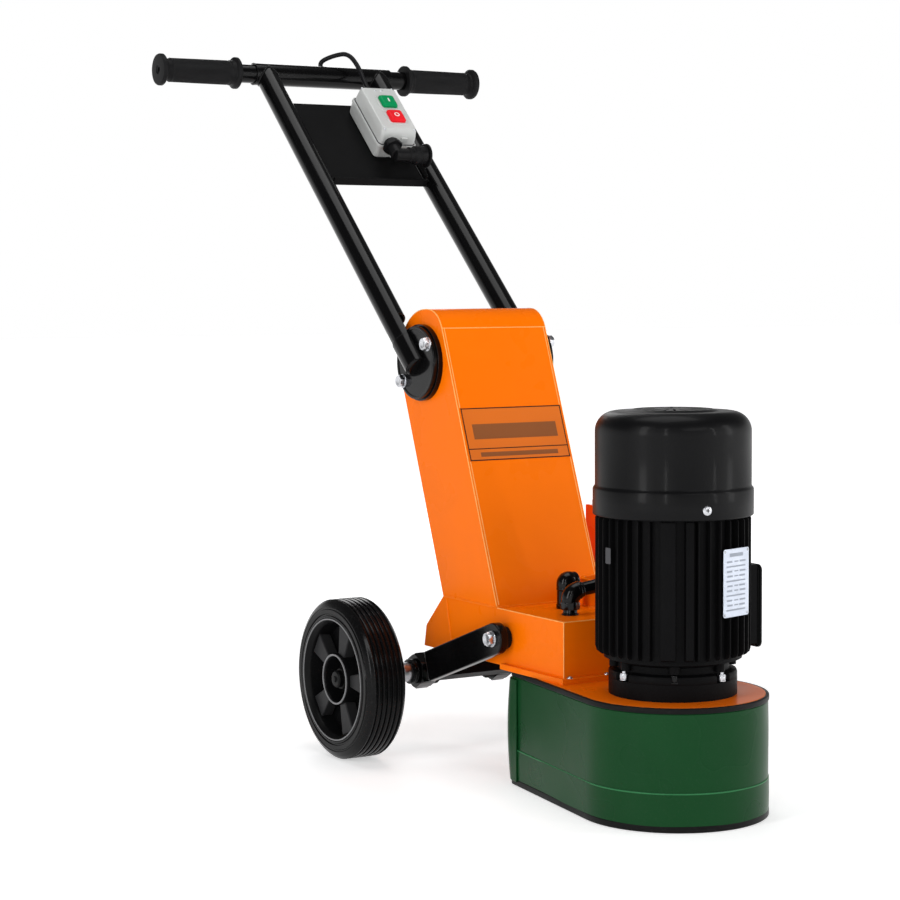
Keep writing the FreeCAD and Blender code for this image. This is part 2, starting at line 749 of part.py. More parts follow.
def diamond_segments():
    """Twelve curved segments that ride on the floor."""
    def segment(radius):
        outer = cylinder(radius, "disc_low", angle="17")
        inner = cylinder(f"{radius} - 26", "disc_low", angle="17")
        return cut(outer, inner)
    return group(*polar(12, 0, "plate_rad - 3", "0", segment))


def disc_bolts():
    shanks = bolt_circle("5", "disc_low", "disc_plate + 10")
    heads = bolt_circle("8.5", "disc_low - 6", "6")
    return group(*[fuse(shank, head) for shank, head in zip(shanks, heads)])


# ---- wheels and their frame ----------------------------------------------------------------

def wheel_arm(side):
    """Flat bar outside the chassis, round at the pivot, from the pivot to the cross member."""
    start = "arm_in" if side > 0 else "-arm_out"
    width = "arm_out - arm_in"
    bar = on_arm(group(block((start, "0", "-arm_half"), (f"{start} + {width}", "arm_length", "arm_half"))))
    near = cylinder("arm_half", width, (start, "arm_y", "arm_z"), "x")
    bore = cylinder("arm_bolt + bore_gap", width, (start, "arm_y", "arm_z"), "x")
    return cut(fuse(bar, near), bore)


def cross_member():
    return on_arm(group(block(("-arm_in", "arm_length - 44", "-arm_half"), ("arm_in", "arm_length", "-2"))))


def wheel_cross_plate():
    """Cross member between the arms, with two bolt bosses below and two lugs behind that hold the axle."""
    bosses = [on_arm(hexagon("20", "9", (x, "arm_length - 22", "-arm_half"), "-z")) for x in ("-58", "58")]
    lugs = []
    for start in ("lug_in", "-lug_out"):
        width = "lug_out - lug_in"
        bar = block((start, "-100", "-lug_half"), (f"{start} + {width}", "0", "lug_half"))
        bar = tilt(group(bar), ("0", "axle_y", "axle_z"), "lug_slope")
        eye = cylinder("lug_half + 6", width, (start, "axle_y", "axle_z"), "x")
        lugs.append(fuse(bar, eye))
    bore = cylinder("axle_rad", "arm_in * 2", ("-arm_in", "axle_y", "axle_z"), "x")
    return cut(fuse(cross_member(), *bosses, *lugs), bore)


def wheel_axle():
    return cylinder("axle_rad", "226 * 2", ("-226", "axle_y", "axle_z"), "x")


def axle_hardware():
    """On each side: large nut, collar and spacer inside the wheel, then washer and cap outside it."""
    sets = []
    for side, along in ((1, "x"), (-1, "-x")):
        def at(distance):
            return (f"({distance}) * {side}", "axle_y", "axle_z")
        inner_end = "wheel_x - wheel_wide / 2 + 2 - running_gap"
        spacer = cylinder("16", f"{inner_end} - lug_out", at("lug_out"), along)
        nut = hexagon("50", "27", at("lug_out"), along)
        collar = cylinder("20", "11", at("lug_out + 27"), along)
        inner_set = cut(fuse(spacer, collar, nut), cylinder("axle_rad", "120", at("lug_out"), along))
        washer = cylinder("18", "2.5", at("222 + running_gap"), along)
        cap = cylinder("13.5", "6", at("224.8"), along)
        outer_set = cut(fuse(washer, cap), cylinder("axle_rad", "4", at("222"), along))
        sets.extend((inner_set, outer_set))
    return group(*sets)


def arm_pivot_bolts():
    bolts = []
    for side, along in ((1, "x"), (-1, "-x")):
        def at(distance):
            return (f"({distance}) * {side}", "arm_y", "arm_z")
        shank = cylinder("arm_bolt", "36", at("box_half - 12"), along)
        spacer = cylinder("17", "arm_in - running_gap - box_half", at("box_half"), along)
        washer = cylinder("17", "2.7", at("arm_out + running_gap"), along)
        head = hexagon("26", "9", at("arm_out + 3"), along)
        nut = hexagon("28", "12", at("box_half - sheet_wall"), "-x" if along == "x" else "x")
        bolts.append(fuse(shank, spacer, washer, head, nut))
    return group(*bolts)


def wheel_rim(side):
    """Pressed rim with a dished web, five tapered spokes and a hub bored for the axle."""
    body = turned("rim", [
        ("axle_rad + bore_gap", "-33"), ("24", "-33"), ("24", "-2"), ("rim_rad - 12", "-2"),
        ("rim_rad - 12", "-31"), ("rim_rad", "-33"), ("rim_rad", "33"), ("rim_rad - 8", "33"),
        ("rim_rad - 12", "26"), ("rim_rad - 12", "6"), ("31", "6"), ("31", "24"), ("27", "24"),
        ("25", "14"), ("19", "14"), ("19", "22.4"), ("axle_rad + bore_gap", "22.4")])
    spoke = outline(sketch_on(body, "XY_Plane", "spoke"), [
        ("29", "-8"), ("rim_rad - 10", "-17"), ("rim_rad - 10", "17"), ("29", "8")])
    spoke.AttachmentOffset = Placement(Vector(0, 0, 5), Rotation())
    around(body, pad(body, spoke, "9"), 5)
    return place(body, (f"wheel_x * {side}", "axle_y", "axle_z"), "x" if side > 0 else "-x")


def tyre(side):
    """Rubber tyre with stepped sidewalls and five grooves round the tread."""
    half = "wheel_wide / 2"
    profile = [("rim_rad", f"-{half} + 3"), ("rim_rad + 9", f"-{half}"), ("rim_rad + 24", f"-{half} + 1"),
               ("wheel_rad - 4", f"-{half} + 5"), ("wheel_rad - 1", f"-{half} + 10")]
    for groove in (-20, -10, 0, 10, 20):
        profile.append(("wheel_rad", str(groove - 3.4)))
        profile.append(("wheel_rad - 2.5", str(groove - 1.6)))
        profile.append(("wheel_rad - 2.5", str(groove + 1.6)))
        profile.append(("wheel_rad", str(groove + 3.4)))
    profile += [("wheel_rad - 1", f"{half} - 10"), ("wheel_rad - 4", f"{half} - 5"),
                ("rim_rad + 24", f"{half} - 1"), ("rim_rad + 9", half), ("rim_rad", f"{half} - 3")]
    body = turned("tyre", profile)
    return place(body, (f"wheel_x * {side}", "axle_y", "axle_z"), "x" if side > 0 else "-x")


# ---- handle --------------------------------------------------------------------------------

def handle_leg(side):
    """Round tube; its foot is notched to sit on the pivot plate and sleeved where it is welded."""
    x = f"leg_x * {side}"
    tube = cylinder("tube_rad", "bar_reach + 10", (x, "0", "-10"))
    sleeve = cylinder("tube_rad + 1.5", "56", (x, "0", "-10"))
    bore = cylinder("tube_rad - tube_wall", "bar_reach", (x, "0", "0"))
    inner_face = "box_half + disc_thick + running_gap + plate_thick"
    low = ("-leg_x", "-40", "-40") if side < 0 else ("0", "-40", "-40")
    high = ("0", "40", "92") if side < 0 else (inner_face, "40", "92")
    notch_low = (f"-({inner_face})", "-40", "-40") if side < 0 else low
    notch = block(notch_low, high)
    saddle = cylinder("tube_rad", "leg_x * 3", ("-leg_x * 1.5", "0", "bar_reach"), "x")
    foot_plug = cylinder("tube_rad - tube_wall", "4", (x, "0", "-10"))
    return on_handle(cut(fuse(cut(fuse(tube, sleeve), bore), foot_plug), notch, saddle))


def handle_plates():
    """Moving pivot plates with a centre stub and two bolt holes each."""
    plates = []
    for side, along in ((1, "x"), (-1, "-x")):
        def at(distance, y="0", z="0"):
            return (f"({distance}) * {side}", y, z)
        face = "box_half + disc_thick + running_gap"
        plate = cylinder("disc_rad - 2.5", "plate_thick", at(face), along)
        stub = cylinder("10 - bore_gap", "disc_thick + running_gap - 1", at("box_half + 1"), along)
        holes = [cylinder("5", "40", at(face, y, z), along) for y, z in BOLT_SPOTS]
        plates.append(cut(fuse(plate, stub), *holes))
    return on_handle(group(*plates))


BOLT_TURN = "bolt_bearing - handle_angle + 90"
BOLT_SPOTS = [
    (f"slot_rad * cos({BOLT_TURN})", f"slot_rad * sin({BOLT_TURN})"),
    (f"-slot_rad * cos({BOLT_TURN})", f"-slot_rad * sin({BOLT_TURN})"),
]


def handle_bolts():
    """Clamp bolts: hex head and washer outside, shank through the plate into the curved slot."""
    bolts = []
    for side, along in ((1, "x"), (-1, "-x")):
        for y, z in BOLT_SPOTS:
            def at(distance):
                return (f"({distance}) * {side}", y, z)
            outer_face = "box_half + disc_thick + running_gap + plate_thick"
            shank = cylinder("5", "disc_thick + plate_thick - 1", at("box_half + 1.3"), along)
            washer = cylinder("9.5", "2", at(outer_face), along)
            head = hexagon("16", "7", at(f"{outer_face} + 2"), along)
            bolts.append(fuse(shank, washer, head))
    return on_handle(group(*bolts))


def cross_tube():
    at = ("-cross_half", "0", "bar_reach")
    return on_handle(ring("tube_rad", "bar_rad", "cross_half * 2", at, "x"))


def handlebar():
    at = ("-grip_end + 4", "0", "bar_reach")
    return on_handle(ring("bar_rad", "bar_rad - 2.5", "(grip_end - 4) * 2", at, "x"))


def grip(side):
    """Moulded grip: inner flange, long body, neck groove and a closed end flange."""
    body = turned("grip", [
        ("bar_rad", "grip_start"), ("grip_flange", "grip_start"), ("grip_flange", "grip_start + 6"),
        ("grip_rad + 1", "grip_start + 11"), ("grip_rad", "grip_start + 16"), ("grip_rad", "grip_end - 20"),
        ("grip_rad - 2", "grip_end - 17"), ("grip_rad - 2", "grip_end - 12"),
        ("grip_flange", "grip_end - 8"), ("grip_flange", "grip_end - 1"), ("grip_flange - 2", "grip_end + 1"),
        ("4", "grip_end + 1"), ("4", "grip_end - 4"), ("bar_rad", "grip_end - 4")])
    across = place(body, ("0", "0", "bar_reach"), "x" if side > 0 else "-x")
    return on_handle(group(across))


def panel_plate():
    plate = block(("-89.7", "-1.5", "panel_low"), ("89.7", "1.5", "panel_high"))
    lip = block(("-89.7", "-13", "panel_low"), ("89.7", "-1.5", "panel_low + 3"))
    return on_handle(fuse(plate, lip))


def switch_span(grow, low, high):
    """Block centred on the switch box, grown sideways, between two depths in front of the panel."""
    wide = f"(switch_wide / 2 + ({grow}))"
    tall = f"(switch_tall / 2 + ({grow}))"
    return block((f"switch_x - {wide}", low, f"switch_z - {tall}"),
                 (f"switch_x + {wide}", high, f"switch_z + {tall}"))


def switch_base():
    return on_handle(cut(switch_span("0", "-27", "-1.5"), switch_span("-3", "-27", "-4.5")))


def button_block(offset, size, low, high):
    half = f"({size}) / 2"
    centre = f"(switch_z + button_pitch * {offset})"
    return block((f"switch_x - {half}", low, f"{centre} - {half}"),
                 (f"switch_x + {half}", high, f"{centre} + {half}"))


def switch_lid():
    """Deep lid with two button windows, four screws and the cable entry on its top end."""
    shell = cut(switch_span("0.8", "-60", "-27"), switch_span("-3", "-57", "-27"))
    windows = [button_block(offset, "button_size + 1", "-62", "-50") for offset in (-0.5, 0.5)]
    entry = cylinder("7", "5", ("switch_x + 4", "-33", "switch_z + switch_tall / 2 + 0.8"))
    return on_handle(fuse(cut(shell, *windows), entry))


def contact_block():
    return on_handle(group(switch_span("-14", "-42", "-4.5")))


def button(offset):
    """Push button with a wider collar that keeps it behind the lid."""
    cap = button_block(offset, "button_size", "-65", "-52")
    collar = button_block(offset, "button_size + 5", "-56.6", "-52")
    stem = button_block(offset, "8", "-52", "-46")
    return on_handle(fuse(cap, collar, stem))


def inlet_body():
    """Appliance inlet under the switch box: neck, barrel and a round socket that faces right."""
    neck_length = "switch_z - switch_tall / 2 - 0.8 - inlet_z"
    neck = cylinder("11", neck_length, ("inlet_end - 58", "inlet_y", "inlet_z"))
    barrel = cylinder("inlet_rad", "74", ("inlet_end - 74", "inlet_y", "inlet_z"), "x")
    socket = cylinder("inlet_rad - 3", "30", ("inlet_end - 30", "inlet_y", "inlet_z"), "x")
    ear = block(("inlet_end - 6", "inlet_y - 4", "inlet_z + inlet_rad - 3"),
                ("inlet_end - 0.5", "inlet_y + 4", "inlet_z + inlet_rad + 4"))
    return on_handle(fuse(cut(fuse(neck, barrel), socket), ear))


def inlet_flap():
    """Round spring flap over the socket, hinged above it."""
    disc = cylinder("inlet_rad + 4", "4", ("inlet_end + 0.4", "inlet_y", "inlet_z"), "x")
    knuckle = cylinder("3", "12", ("inlet_end + 3", "inlet_y - 6", "inlet_z + inlet_rad + 5"), "y")
    return on_handle(fuse(disc, knuckle))


# ---- the whole machine ---------------------------------------------------------------------

def both(name, maker):
    return [(f"{name}_left", maker(-1)), (f"{name}_right", maker(1))]


def build():
    return [
        ("deck_plate", deck_plate()),
        ("skirt_upper", skirt_upper()),
        ("skirt_lower", skirt_lower()),
        ("skirt_trims", skirt_trims()),
        ("chassis_box", chassis_box()),
        ("chassis_flange", chassis_flange()),
        ("flange_screws", flange_screws()),
        ("column_shell", column_shell()),
        ("column_rear_cover", column_rear_cover()),
        ("column_label", column_label()),
        ("pivot_discs", pivot_discs()),
        ("cable_cleat", cable_cleat()),
        ("dust_port", dust_port()),
        ("angle_gland", angle_gland()),
        ("blank_elbow", blank_elbow()),
        ("motor_cable", motor_cable()),
        ("motor_housing", motor_housing()),
        ("stator", stator()),
        ("upper_shield", upper_shield()),
        ("lower_shield", lower_shield()),
        ("motor_fasteners", motor_fasteners()),
        ("fan_cowl", fan_cowl()),
        ("data_plate", data_plate()),
        ("terminal_box", terminal_box()),
        ("terminal_lid", terminal_lid()),
        ("motor_bearings", motor_bearings()),
        ("rotor", rotor()),
        ("motor_shaft", motor_shaft()),
        ("cooling_fan", cooling_fan()),
        ("drive_hub", drive_hub()),
        ("grinding_disc", grinding_disc()),
        ("diamond_segments", diamond_segments()),
        ("disc_bolts", disc_bolts()),
        *both("wheel_arm", wheel_arm),
        ("wheel_cross_plate", wheel_cross_plate()),
        ("wheel_axle", wheel_axle()),
        ("axle_hardware", axle_hardware()),
        ("arm_pivot_bolts", arm_pivot_bolts()),
        *both("wheel_rim", wheel_rim),
        *both("tyre", tyre),
        *both("handle_leg", handle_leg),
        ("handle_plates", handle_plates()),
        ("handle_bolts", handle_bolts()),
        ("cross_tube", cross_tube()),
        ("handlebar", handlebar()),
        *both("grip", grip),
        ("panel_plate", panel_plate()),
        ("switch_base", switch_base()),
        ("switch_lid", switch_lid()),
        ("contact_block", contact_block()),
        ("start_button", button(0.5)),
        ("stop_button", button(-0.5)),
        ("control_cable", control_cable()),
        ("inlet_body", inlet_body()),
        ("inlet_flap", inlet_flap()),
    ]


def check_and_export(nodes):
    doc.recompute()
    for thing in doc.Objects:
        if "Invalid" in thing.State or "Error" in thing.State:
            raise ValueError(f"{thing.Label} did not compute: {thing.State}")
    os.makedirs("parts", exist_ok=True)
    for name, thing in nodes:
        thing.Label = name
        shape = thing.Shape
        if shape.isNull() or not shape.isValid() or not shape.Solids:
            raise ValueError(f"{name} has no valid solid")
        shape.exportStep(f"parts/{name}.step")
    print("sub-parts written:", len(nodes))


fill_sheet()
check_and_export(build())
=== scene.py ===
# Walk-behind floor grinder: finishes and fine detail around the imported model.
# Everything is in metres; the front of the machine faces -Y and the floor is Z = 0.
import json
import math

import bpy
from mathutils import Matrix, Vector, noise


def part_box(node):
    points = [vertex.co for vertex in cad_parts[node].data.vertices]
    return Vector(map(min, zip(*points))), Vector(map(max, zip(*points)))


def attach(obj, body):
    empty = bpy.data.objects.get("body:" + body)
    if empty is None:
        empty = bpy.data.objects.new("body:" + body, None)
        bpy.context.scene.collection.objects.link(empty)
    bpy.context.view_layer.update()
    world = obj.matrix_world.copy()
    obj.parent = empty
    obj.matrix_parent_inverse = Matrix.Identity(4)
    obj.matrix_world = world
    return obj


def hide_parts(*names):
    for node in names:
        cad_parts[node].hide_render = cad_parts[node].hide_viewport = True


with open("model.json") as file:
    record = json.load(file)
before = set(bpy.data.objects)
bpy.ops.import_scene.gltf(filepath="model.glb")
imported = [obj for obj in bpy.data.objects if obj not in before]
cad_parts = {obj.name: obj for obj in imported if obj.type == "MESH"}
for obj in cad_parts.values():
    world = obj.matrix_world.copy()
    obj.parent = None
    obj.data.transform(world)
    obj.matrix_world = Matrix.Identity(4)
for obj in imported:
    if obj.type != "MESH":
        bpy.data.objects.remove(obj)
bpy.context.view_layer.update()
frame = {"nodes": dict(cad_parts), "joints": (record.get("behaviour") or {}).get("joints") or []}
nodes = frame["nodes"]
scene = bpy.context.scene
mm = 0.001
print("frame loaded:", len(nodes), "nodes")


# camera, floor and light

cameraSetup = {
    "place": (-1.8839, -3.0064, 0.7307),
    "aim": (-0.3603, -0.4635, 0.5223),
    "lens": 91.16,
    "roll": -0.3,    # degrees
}
floorSetup = {"size": 60, "colour": (0.84, 0.84, 0.845), "glow": 0.5, "farGlow": 1.0, "near": 1.3, "far": 3.2}
skySetup = {"low": 1.0, "high": 0.12, "start": 0.12, "end": 0.3}     # brightness at the horizon and overhead
lightSetup = [
    # name, place, width, height, watts
    ("keyPanel", (-3.4, -1.0, 1.7), 0.7, 2.6, 42),
    ("leftStrip", (-2.6, -2.9, 1.6), 0.09, 2.4, 16),
    ("rightStrip", (1.5, -3.6, 1.5), 0.09, 2.2, 14),
    ("frontPanel", (-0.2, -4.4, 2.6), 2.6, 1.2, 26),
    ("fillPanel", (2.9, -2.6, 1.5), 0.7, 2.4, 30),
    ("topPanel", (0.0, 0.0, 3.6), 2.2, 2.2, 42),
    ("rearPanel", (1.2, 3.4, 2.2), 1.6, 1.6, 24),
]


def makeCamera():
    camera = bpy.data.objects.new("camera", bpy.data.cameras.new("camera"))
    scene.collection.objects.link(camera)
    place = Vector(cameraSetup["place"])
    aim = (Vector(cameraSetup["aim"]) - place).to_track_quat("-Z", "Y").to_matrix().to_4x4()
    roll = Matrix.Rotation(math.radians(cameraSetup["roll"]), 4, "Z")
    camera.matrix_world = Matrix.Translation(place) @ aim @ roll
    camera.data.lens = cameraSetup["lens"]
    camera.data.sensor_width = 36
    camera.data.clip_end = 100
    scene.camera = camera


def makeLight(name, place, width, height, watts):
    lamp = bpy.data.lights.new(name, "AREA")
    lamp.shape = "RECTANGLE"
    lamp.size = width
    lamp.size_y = height
    lamp.energy = watts
    holder = bpy.data.objects.new(name, lamp)
    scene.collection.objects.link(holder)
    holder.location = place
    holder.rotation_euler = (Vector((0, -0.1, 0.45)) - Vector(place)).to_track_quat("-Z", "Y").to_euler()


def makeSky():
    # white round the horizon, dimmer overhead
    sky = bpy.data.worlds.new("studio")
    sky.use_nodes = True
    tree = sky.node_tree
    place = tree.nodes.new("ShaderNodeTexCoord")
    split = tree.nodes.new("ShaderNodeSeparateXYZ")
    fade = tree.nodes.new("ShaderNodeMapRange")
    fade.interpolation_type = "SMOOTHSTEP"
    fade.inputs["From Min"].default_value = skySetup["start"]
    fade.inputs["From Max"].default_value = skySetup["end"]
    fade.inputs["To Min"].default_value = skySetup["low"]
    fade.inputs["To Max"].default_value = skySetup["high"]
    tree.links.new(place.outputs["Generated"], split.inputs["Vector"])
    tree.links.new(split.outputs["Z"], fade.inputs["Value"])
    tree.links.new(fade.outputs["Result"], tree.nodes["Background"].inputs["Strength"])
    tree.nodes["Background"].inputs["Color"].default_value = (1, 1, 1, 1)
    scene.world = sky


def makeStudio():
    half = floorSetup["size"] / 2
    ground = bpy.data.meshes.new("ground")
    corners = [(-half, -half, 0), (half, -half, 0), (half, half, 0), (-half, half, 0)]
    ground.from_pydata(corners, [], [(0, 1, 2, 3)])
    floor = bpy.data.objects.new("floor", ground)
    scene.collection.objects.link(floor)
    pale = bpy.data.materials.new("paleFloor")
    pale.use_nodes = True
    surface = pale.node_tree.nodes["Principled BSDF"]
    surface.inputs["Base Color"].default_value = (*floorSetup["colour"], 1)
    surface.inputs["Roughness"].default_value = 0.6
    surface.inputs["Emission Color"].default_value = (1, 1, 1, 1)
    # the paper brightens away from the machine, so its far edge melts into the backdrop
    tree = pale.node_tree
    spot = tree.nodes.new("ShaderNodeTexCoord")
    reach = tree.nodes.new("ShaderNodeVectorMath")
    reach.operation = "LENGTH"
    rise = tree.nodes.new("ShaderNodeMapRange")
    rise.inputs["From Min"].default_value = floorSetup["near"]
    rise.inputs["From Max"].default_value = floorSetup["far"]
    rise.inputs["To Min"].default_value = floorSetup["glow"]
    rise.inputs["To Max"].default_value = floorSetup["farGlow"]
    tree.links.new(spot.outputs["Object"], reach.inputs[0])
    tree.links.new(reach.outputs["Value"], rise.inputs["Value"])
    tree.links.new(rise.outputs["Result"], surface.inputs["Emission Strength"])
    floor.data.materials.append(pale)
    makeSky()
    scene.view_settings.view_transform = "Standard"
    for row in lightSetup:
        makeLight(*row)


makeCamera()
makeStudio()
print("studio ready")


# materials

def surfaceOf(material):
    return material.node_tree.nodes["Principled BSDF"]


def newFinish(name, colour, rough, metal=0.0, coat=0.0, coatRough=0.08, level=0.5):
    material = bpy.data.materials.new(name)
    material.use_nodes = True
    material.diffuse_color = (*colour, 1)
    shader = surfaceOf(material).inputs
    shader["Base Color"].default_value = (*colour, 1)
    shader["Roughness"].default_value = rough
    shader["Metallic"].default_value = metal
    shader["Coat Weight"].default_value = coat
    shader["Coat Roughness"].default_value = coatRough
    shader["Specular IOR Level"].default_value = level
    return material


def wire(material, kind, **sockets):
    # adds one node; keyword values go to its sockets, and node outputs are linked
    node = material.node_tree.nodes.new(kind)
    for key, value in sockets.items():
        socket = node.inputs[int(key[1:])] if key[0] == "_" else node.inputs[key.replace("_", " ")]
        if isinstance(value, bpy.types.NodeSocket):
            material.node_tree.links.new(value, socket)
        else:
            socket.default_value = value
    return node


def grain(material, scale, detail=4.0, stretch=(1, 1, 1), rough=0.55):
    # cloud noise in the part's own space; stretch makes it run along one axis
    place = wire(material, "ShaderNodeTexCoord").outputs["Object"]
    scaled = wire(material, "ShaderNodeMapping", Vector=place, Scale=stretch).outputs["Vector"]
    return wire(material, "ShaderNodeTexNoise", Vector=scaled, Scale=scale, Detail=detail,
                Roughness=rough).outputs["Fac"]


def spread(material, value, low, high, fromLow=0.3, fromHigh=0.7):
    node = wire(material, "ShaderNodeMapRange", Value=value)
    node.inputs["From Min"].default_value = fromLow
    node.inputs["From Max"].default_value = fromHigh
    node.inputs["To Min"].default_value = low
    node.inputs["To Max"].default_value = high
    return node.outputs["Result"]


def tint(material, amount, first, second):
    # between two plain colours
    mix = material.node_tree.nodes.new("ShaderNodeMix")
    mix.data_type = "RGBA"
    mix.inputs[6].default_value = (*first, 1)
    mix.inputs[7].default_value = (*second, 1)
    material.node_tree.links.new(amount, mix.inputs[0])
    return mix.outputs[2]


def layer(material, amount, under, over):
    # over (a plain colour) laid on under (a colour output) where amount is 1
    mix = material.node_tree.nodes.new("ShaderNodeMix")
    mix.data_type = "RGBA"
    mix.inputs[7].default_value = (*over, 1)
    material.node_tree.links.new(under, mix.inputs[6])
    material.node_tree.links.new(amount, mix.inputs[0])
    return mix.outputs[2]


def feed(material, socket, value):
    material.node_tree.links.new(value, surfaceOf(material).inputs[socket])


def addBump(material, heights, strength=0.3, edge=0.0):
    # heights: (height output, distance in metres) from the coarsest to the finest; edge rounds sharp corners
    normal = wire(material, "ShaderNodeBevel", Radius=edge).outputs["Normal"] if edge else None
    for height, distance in heights:
        node = wire(material, "ShaderNodeBump", Height=height, Strength=strength, Distance=distance)
        if normal:
            material.node_tree.links.new(normal, node.inputs["Normal"])
        normal = node.outputs["Normal"]
    feed(material, "Normal", normal)


def edgeMask(material, width=0.0014, low=0.015, high=0.12):
    # 1 along sharp edges: compares the true normal with one rounded over width
    soft = wire(material, "ShaderNodeBevel", Radius=width).outputs["Normal"]
    true = wire(material, "ShaderNodeNewGeometry").outputs["Normal"]
    dot = wire(material, "ShaderNodeVectorMath", _0=soft, _1=true)
    dot.operation = "DOT_PRODUCT"
    turned = wire(material, "ShaderNodeMath", _0=1.0, _1=dot.outputs["Value"])
    turned.operation = "SUBTRACT"
    return spread(material, turned.outputs["Value"], 0, 1, low, high)


def scaled(colour, factor):
    return tuple(min(1.0, part * factor) for part in colour)


# edge: colour of the painted highlight laid along each finish's sharp edges
paintSetup = {
    "orangePaint": {"colour": (0.92, 0.165, 0.0008), "rough": 0.28, "coat": 0.0, "peel": 0.00012,
                    "edge": (1.0, 0.34, 0.05), "level": 0.05},
    "deckPaint": {"colour": (0.84, 0.145, 0.0008), "rough": 0.30, "coat": 0.0, "peel": 0.00012,
                  "edge": (1.0, 0.32, 0.05), "level": 0.1},
    # lighter orange for the edge beads: a painted highlight along folds, bends and edges
    "orangeHighlightBead": {"colour": (1.0, 0.42, 0.10), "rough": 0.3, "coat": 0.0, "peel": 0.00004,
                   "edge": (1.0, 0.5, 0.16), "level": 0.3},
    "blackGloss": {"colour": (0.002, 0.002, 0.0022), "rough": 0.15, "coat": 0.1, "peel": 0.00008,
                   "edge": (0.03, 0.03, 0.031), "level": 0.14},
    "blackMatt": {"colour": (0.0035, 0.0035, 0.0038), "rough": 0.5, "coat": 0.0, "peel": 0.00010,
                  "edge": (0.01, 0.01, 0.01), "level": 0.05},
    "cowlPaint": {"colour": (0.0022, 0.0022, 0.0026), "rough": 0.4, "coat": 0.05, "peel": 0.00010,
                  "edge": (0.014, 0.014, 0.014), "level": 0.1},
}


def makePaint(name, look):
    # powder coat: a fine orange-peel skin, a faint random tone, and a painted highlight along sharp edges in each
    # finish's lighter edge colour, broken up by fine noise
    paint = newFinish(name, look["colour"], look["rough"], coat=look["coat"], coatRough=0.12,
                      level=look["level"])
    cloud = grain(paint, 9, 3)
    highlightBreakup = grain(paint, 160, 5)
    base = tint(paint, cloud, scaled(look["colour"], 0.93), scaled(look["colour"], 1.05))
    # painted highlight: the edge colour is laid along sharp edges where light would catch them, its strength broken
    # up by fine noise
    paintedEdgeHighlight = wire(paint, "ShaderNodeMath", _0=edgeMask(paint), _1=spread(paint, highlightBreakup, 0.35, 0.9, 0.4, 0.7))
    paintedEdgeHighlight.operation = "MULTIPLY"
    feed(paint, "Base Color", layer(paint, paintedEdgeHighlight.outputs["Value"], base, look["edge"]))
    feed(paint, "Roughness", spread(paint, cloud, look["rough"] - 0.05, look["rough"] + 0.07))
    peel = grain(paint, 420, 2)
    addBump(paint, [(cloud, 0.0004), (peel, look["peel"])], 0.5, 0.0012)
    return paint


rubberSetup = {
    # welt: a lighter green than the skirt, a painted highlight along the seam's ridge
    "weltHighlightRubber": {"colour": (0.03, 0.16, 0.06), "rough": 0.3, "grainSize": 600, "depth": 0.00003},
    # rings: pale grey on the black wheel, a painted highlight standing for bright rim lines
    "ringHighlightPlastic": {"colour": (0.15, 0.15, 0.155), "rough": 0.3, "grainSize": 400, "depth": 0.00003,
                    "level": 0.5},
    "skirtRubber": {"colour": (0.004, 0.048, 0.012), "rough": 0.3, "grainSize": 420, "depth": 0.00003},
    "trimRubber": {"colour": (0.0045, 0.0045, 0.0045), "rough": 0.42, "grainSize": 300, "depth": 0.00008},
    "cableRubber": {"colour": (0.008, 0.008, 0.009), "rough": 0.38, "grainSize": 500, "depth": 0.00004},
    "gripRubber": {"colour": (0.0065, 0.0065, 0.007), "rough": 0.5, "grainSize": 700, "depth": 0.00009},
    "tyreRubber": {"colour": (0.0035, 0.0035, 0.0038), "rough": 0.2, "level": 0.12, "grainSize": 260,
                   "depth": 0.00008},
    "blackPlastic": {"colour": (0.006, 0.006, 0.0065), "rough": 0.36, "grainSize": 600, "depth": 0.00005},
    "rimPlastic": {"colour": (0.0035, 0.0035, 0.0038), "rough": 0.36, "grainSize": 420, "depth": 0.00008},
    "boxPlastic": {"colour": (0.50, 0.51, 0.50), "rough": 0.38, "grainSize": 800, "depth": 0.00004,
                   "level": 0.45},
    "greenPlastic": {"colour": (0.0, 0.235, 0.075), "rough": 0.28, "grainSize": 300, "depth": 0.00002},
    "redPlastic": {"colour": (0.72, 0.012, 0.02), "rough": 0.28, "grainSize": 300, "depth": 0.00002},
    "spokePlastic": {"colour": (0.022, 0.022, 0.023), "rough": 0.42, "grainSize": 420, "depth": 0.00006},
    "tagGrey": {"colour": (0.06, 0.06, 0.065), "rough": 0.4, "grainSize": 420, "depth": 0.00003},
    "fieldGrey": {"colour": (0.30, 0.33, 0.38), "rough": 0.4, "grainSize": 420, "depth": 0.00001},
    "labelDark": {"colour": (0.02, 0.010, 0.007), "rough": 0.35, "grainSize": 420, "depth": 0.00001},
    "labelFilm": {"colour": (0.66, 0.145, 0.012), "rough": 0.35, "grainSize": 420, "depth": 0.00001},
    "labelBar": {"colour": (0.24, 0.075, 0.02), "rough": 0.35, "grainSize": 420, "depth": 0.00001},
    "whiteMark": {"colour": (0.8, 0.82, 0.8), "rough": 0.4, "grainSize": 300, "depth": 0.00001},
}


def makeMoulded(name, look):
    # rubber and plastic: a fine moulded grain, mottled sheen and a little pale dust in random specks
    moulded = newFinish(name, look["colour"], look["rough"], level=look.get("level", 0.1))
    cloud = grain(moulded, 9, 1)
    speck = grain(moulded, look["grainSize"], 3)
    base = tint(moulded, cloud, scaled(look["colour"], 0.86), scaled(look["colour"], 1.14))
    light = tuple(part * 0.9 + 0.02 for part in look["colour"])
    feed(moulded, "Base Color", layer(moulded, spread(moulded, speck, 0.0, 0.35, 0.55, 0.8), base, light))
    feed(moulded, "Roughness", spread(moulded, cloud, look["rough"] - 0.06, look["rough"] + 0.10))
    addBump(moulded, [(cloud, 0.00012), (speck, look["depth"])], 0.4)
    return moulded


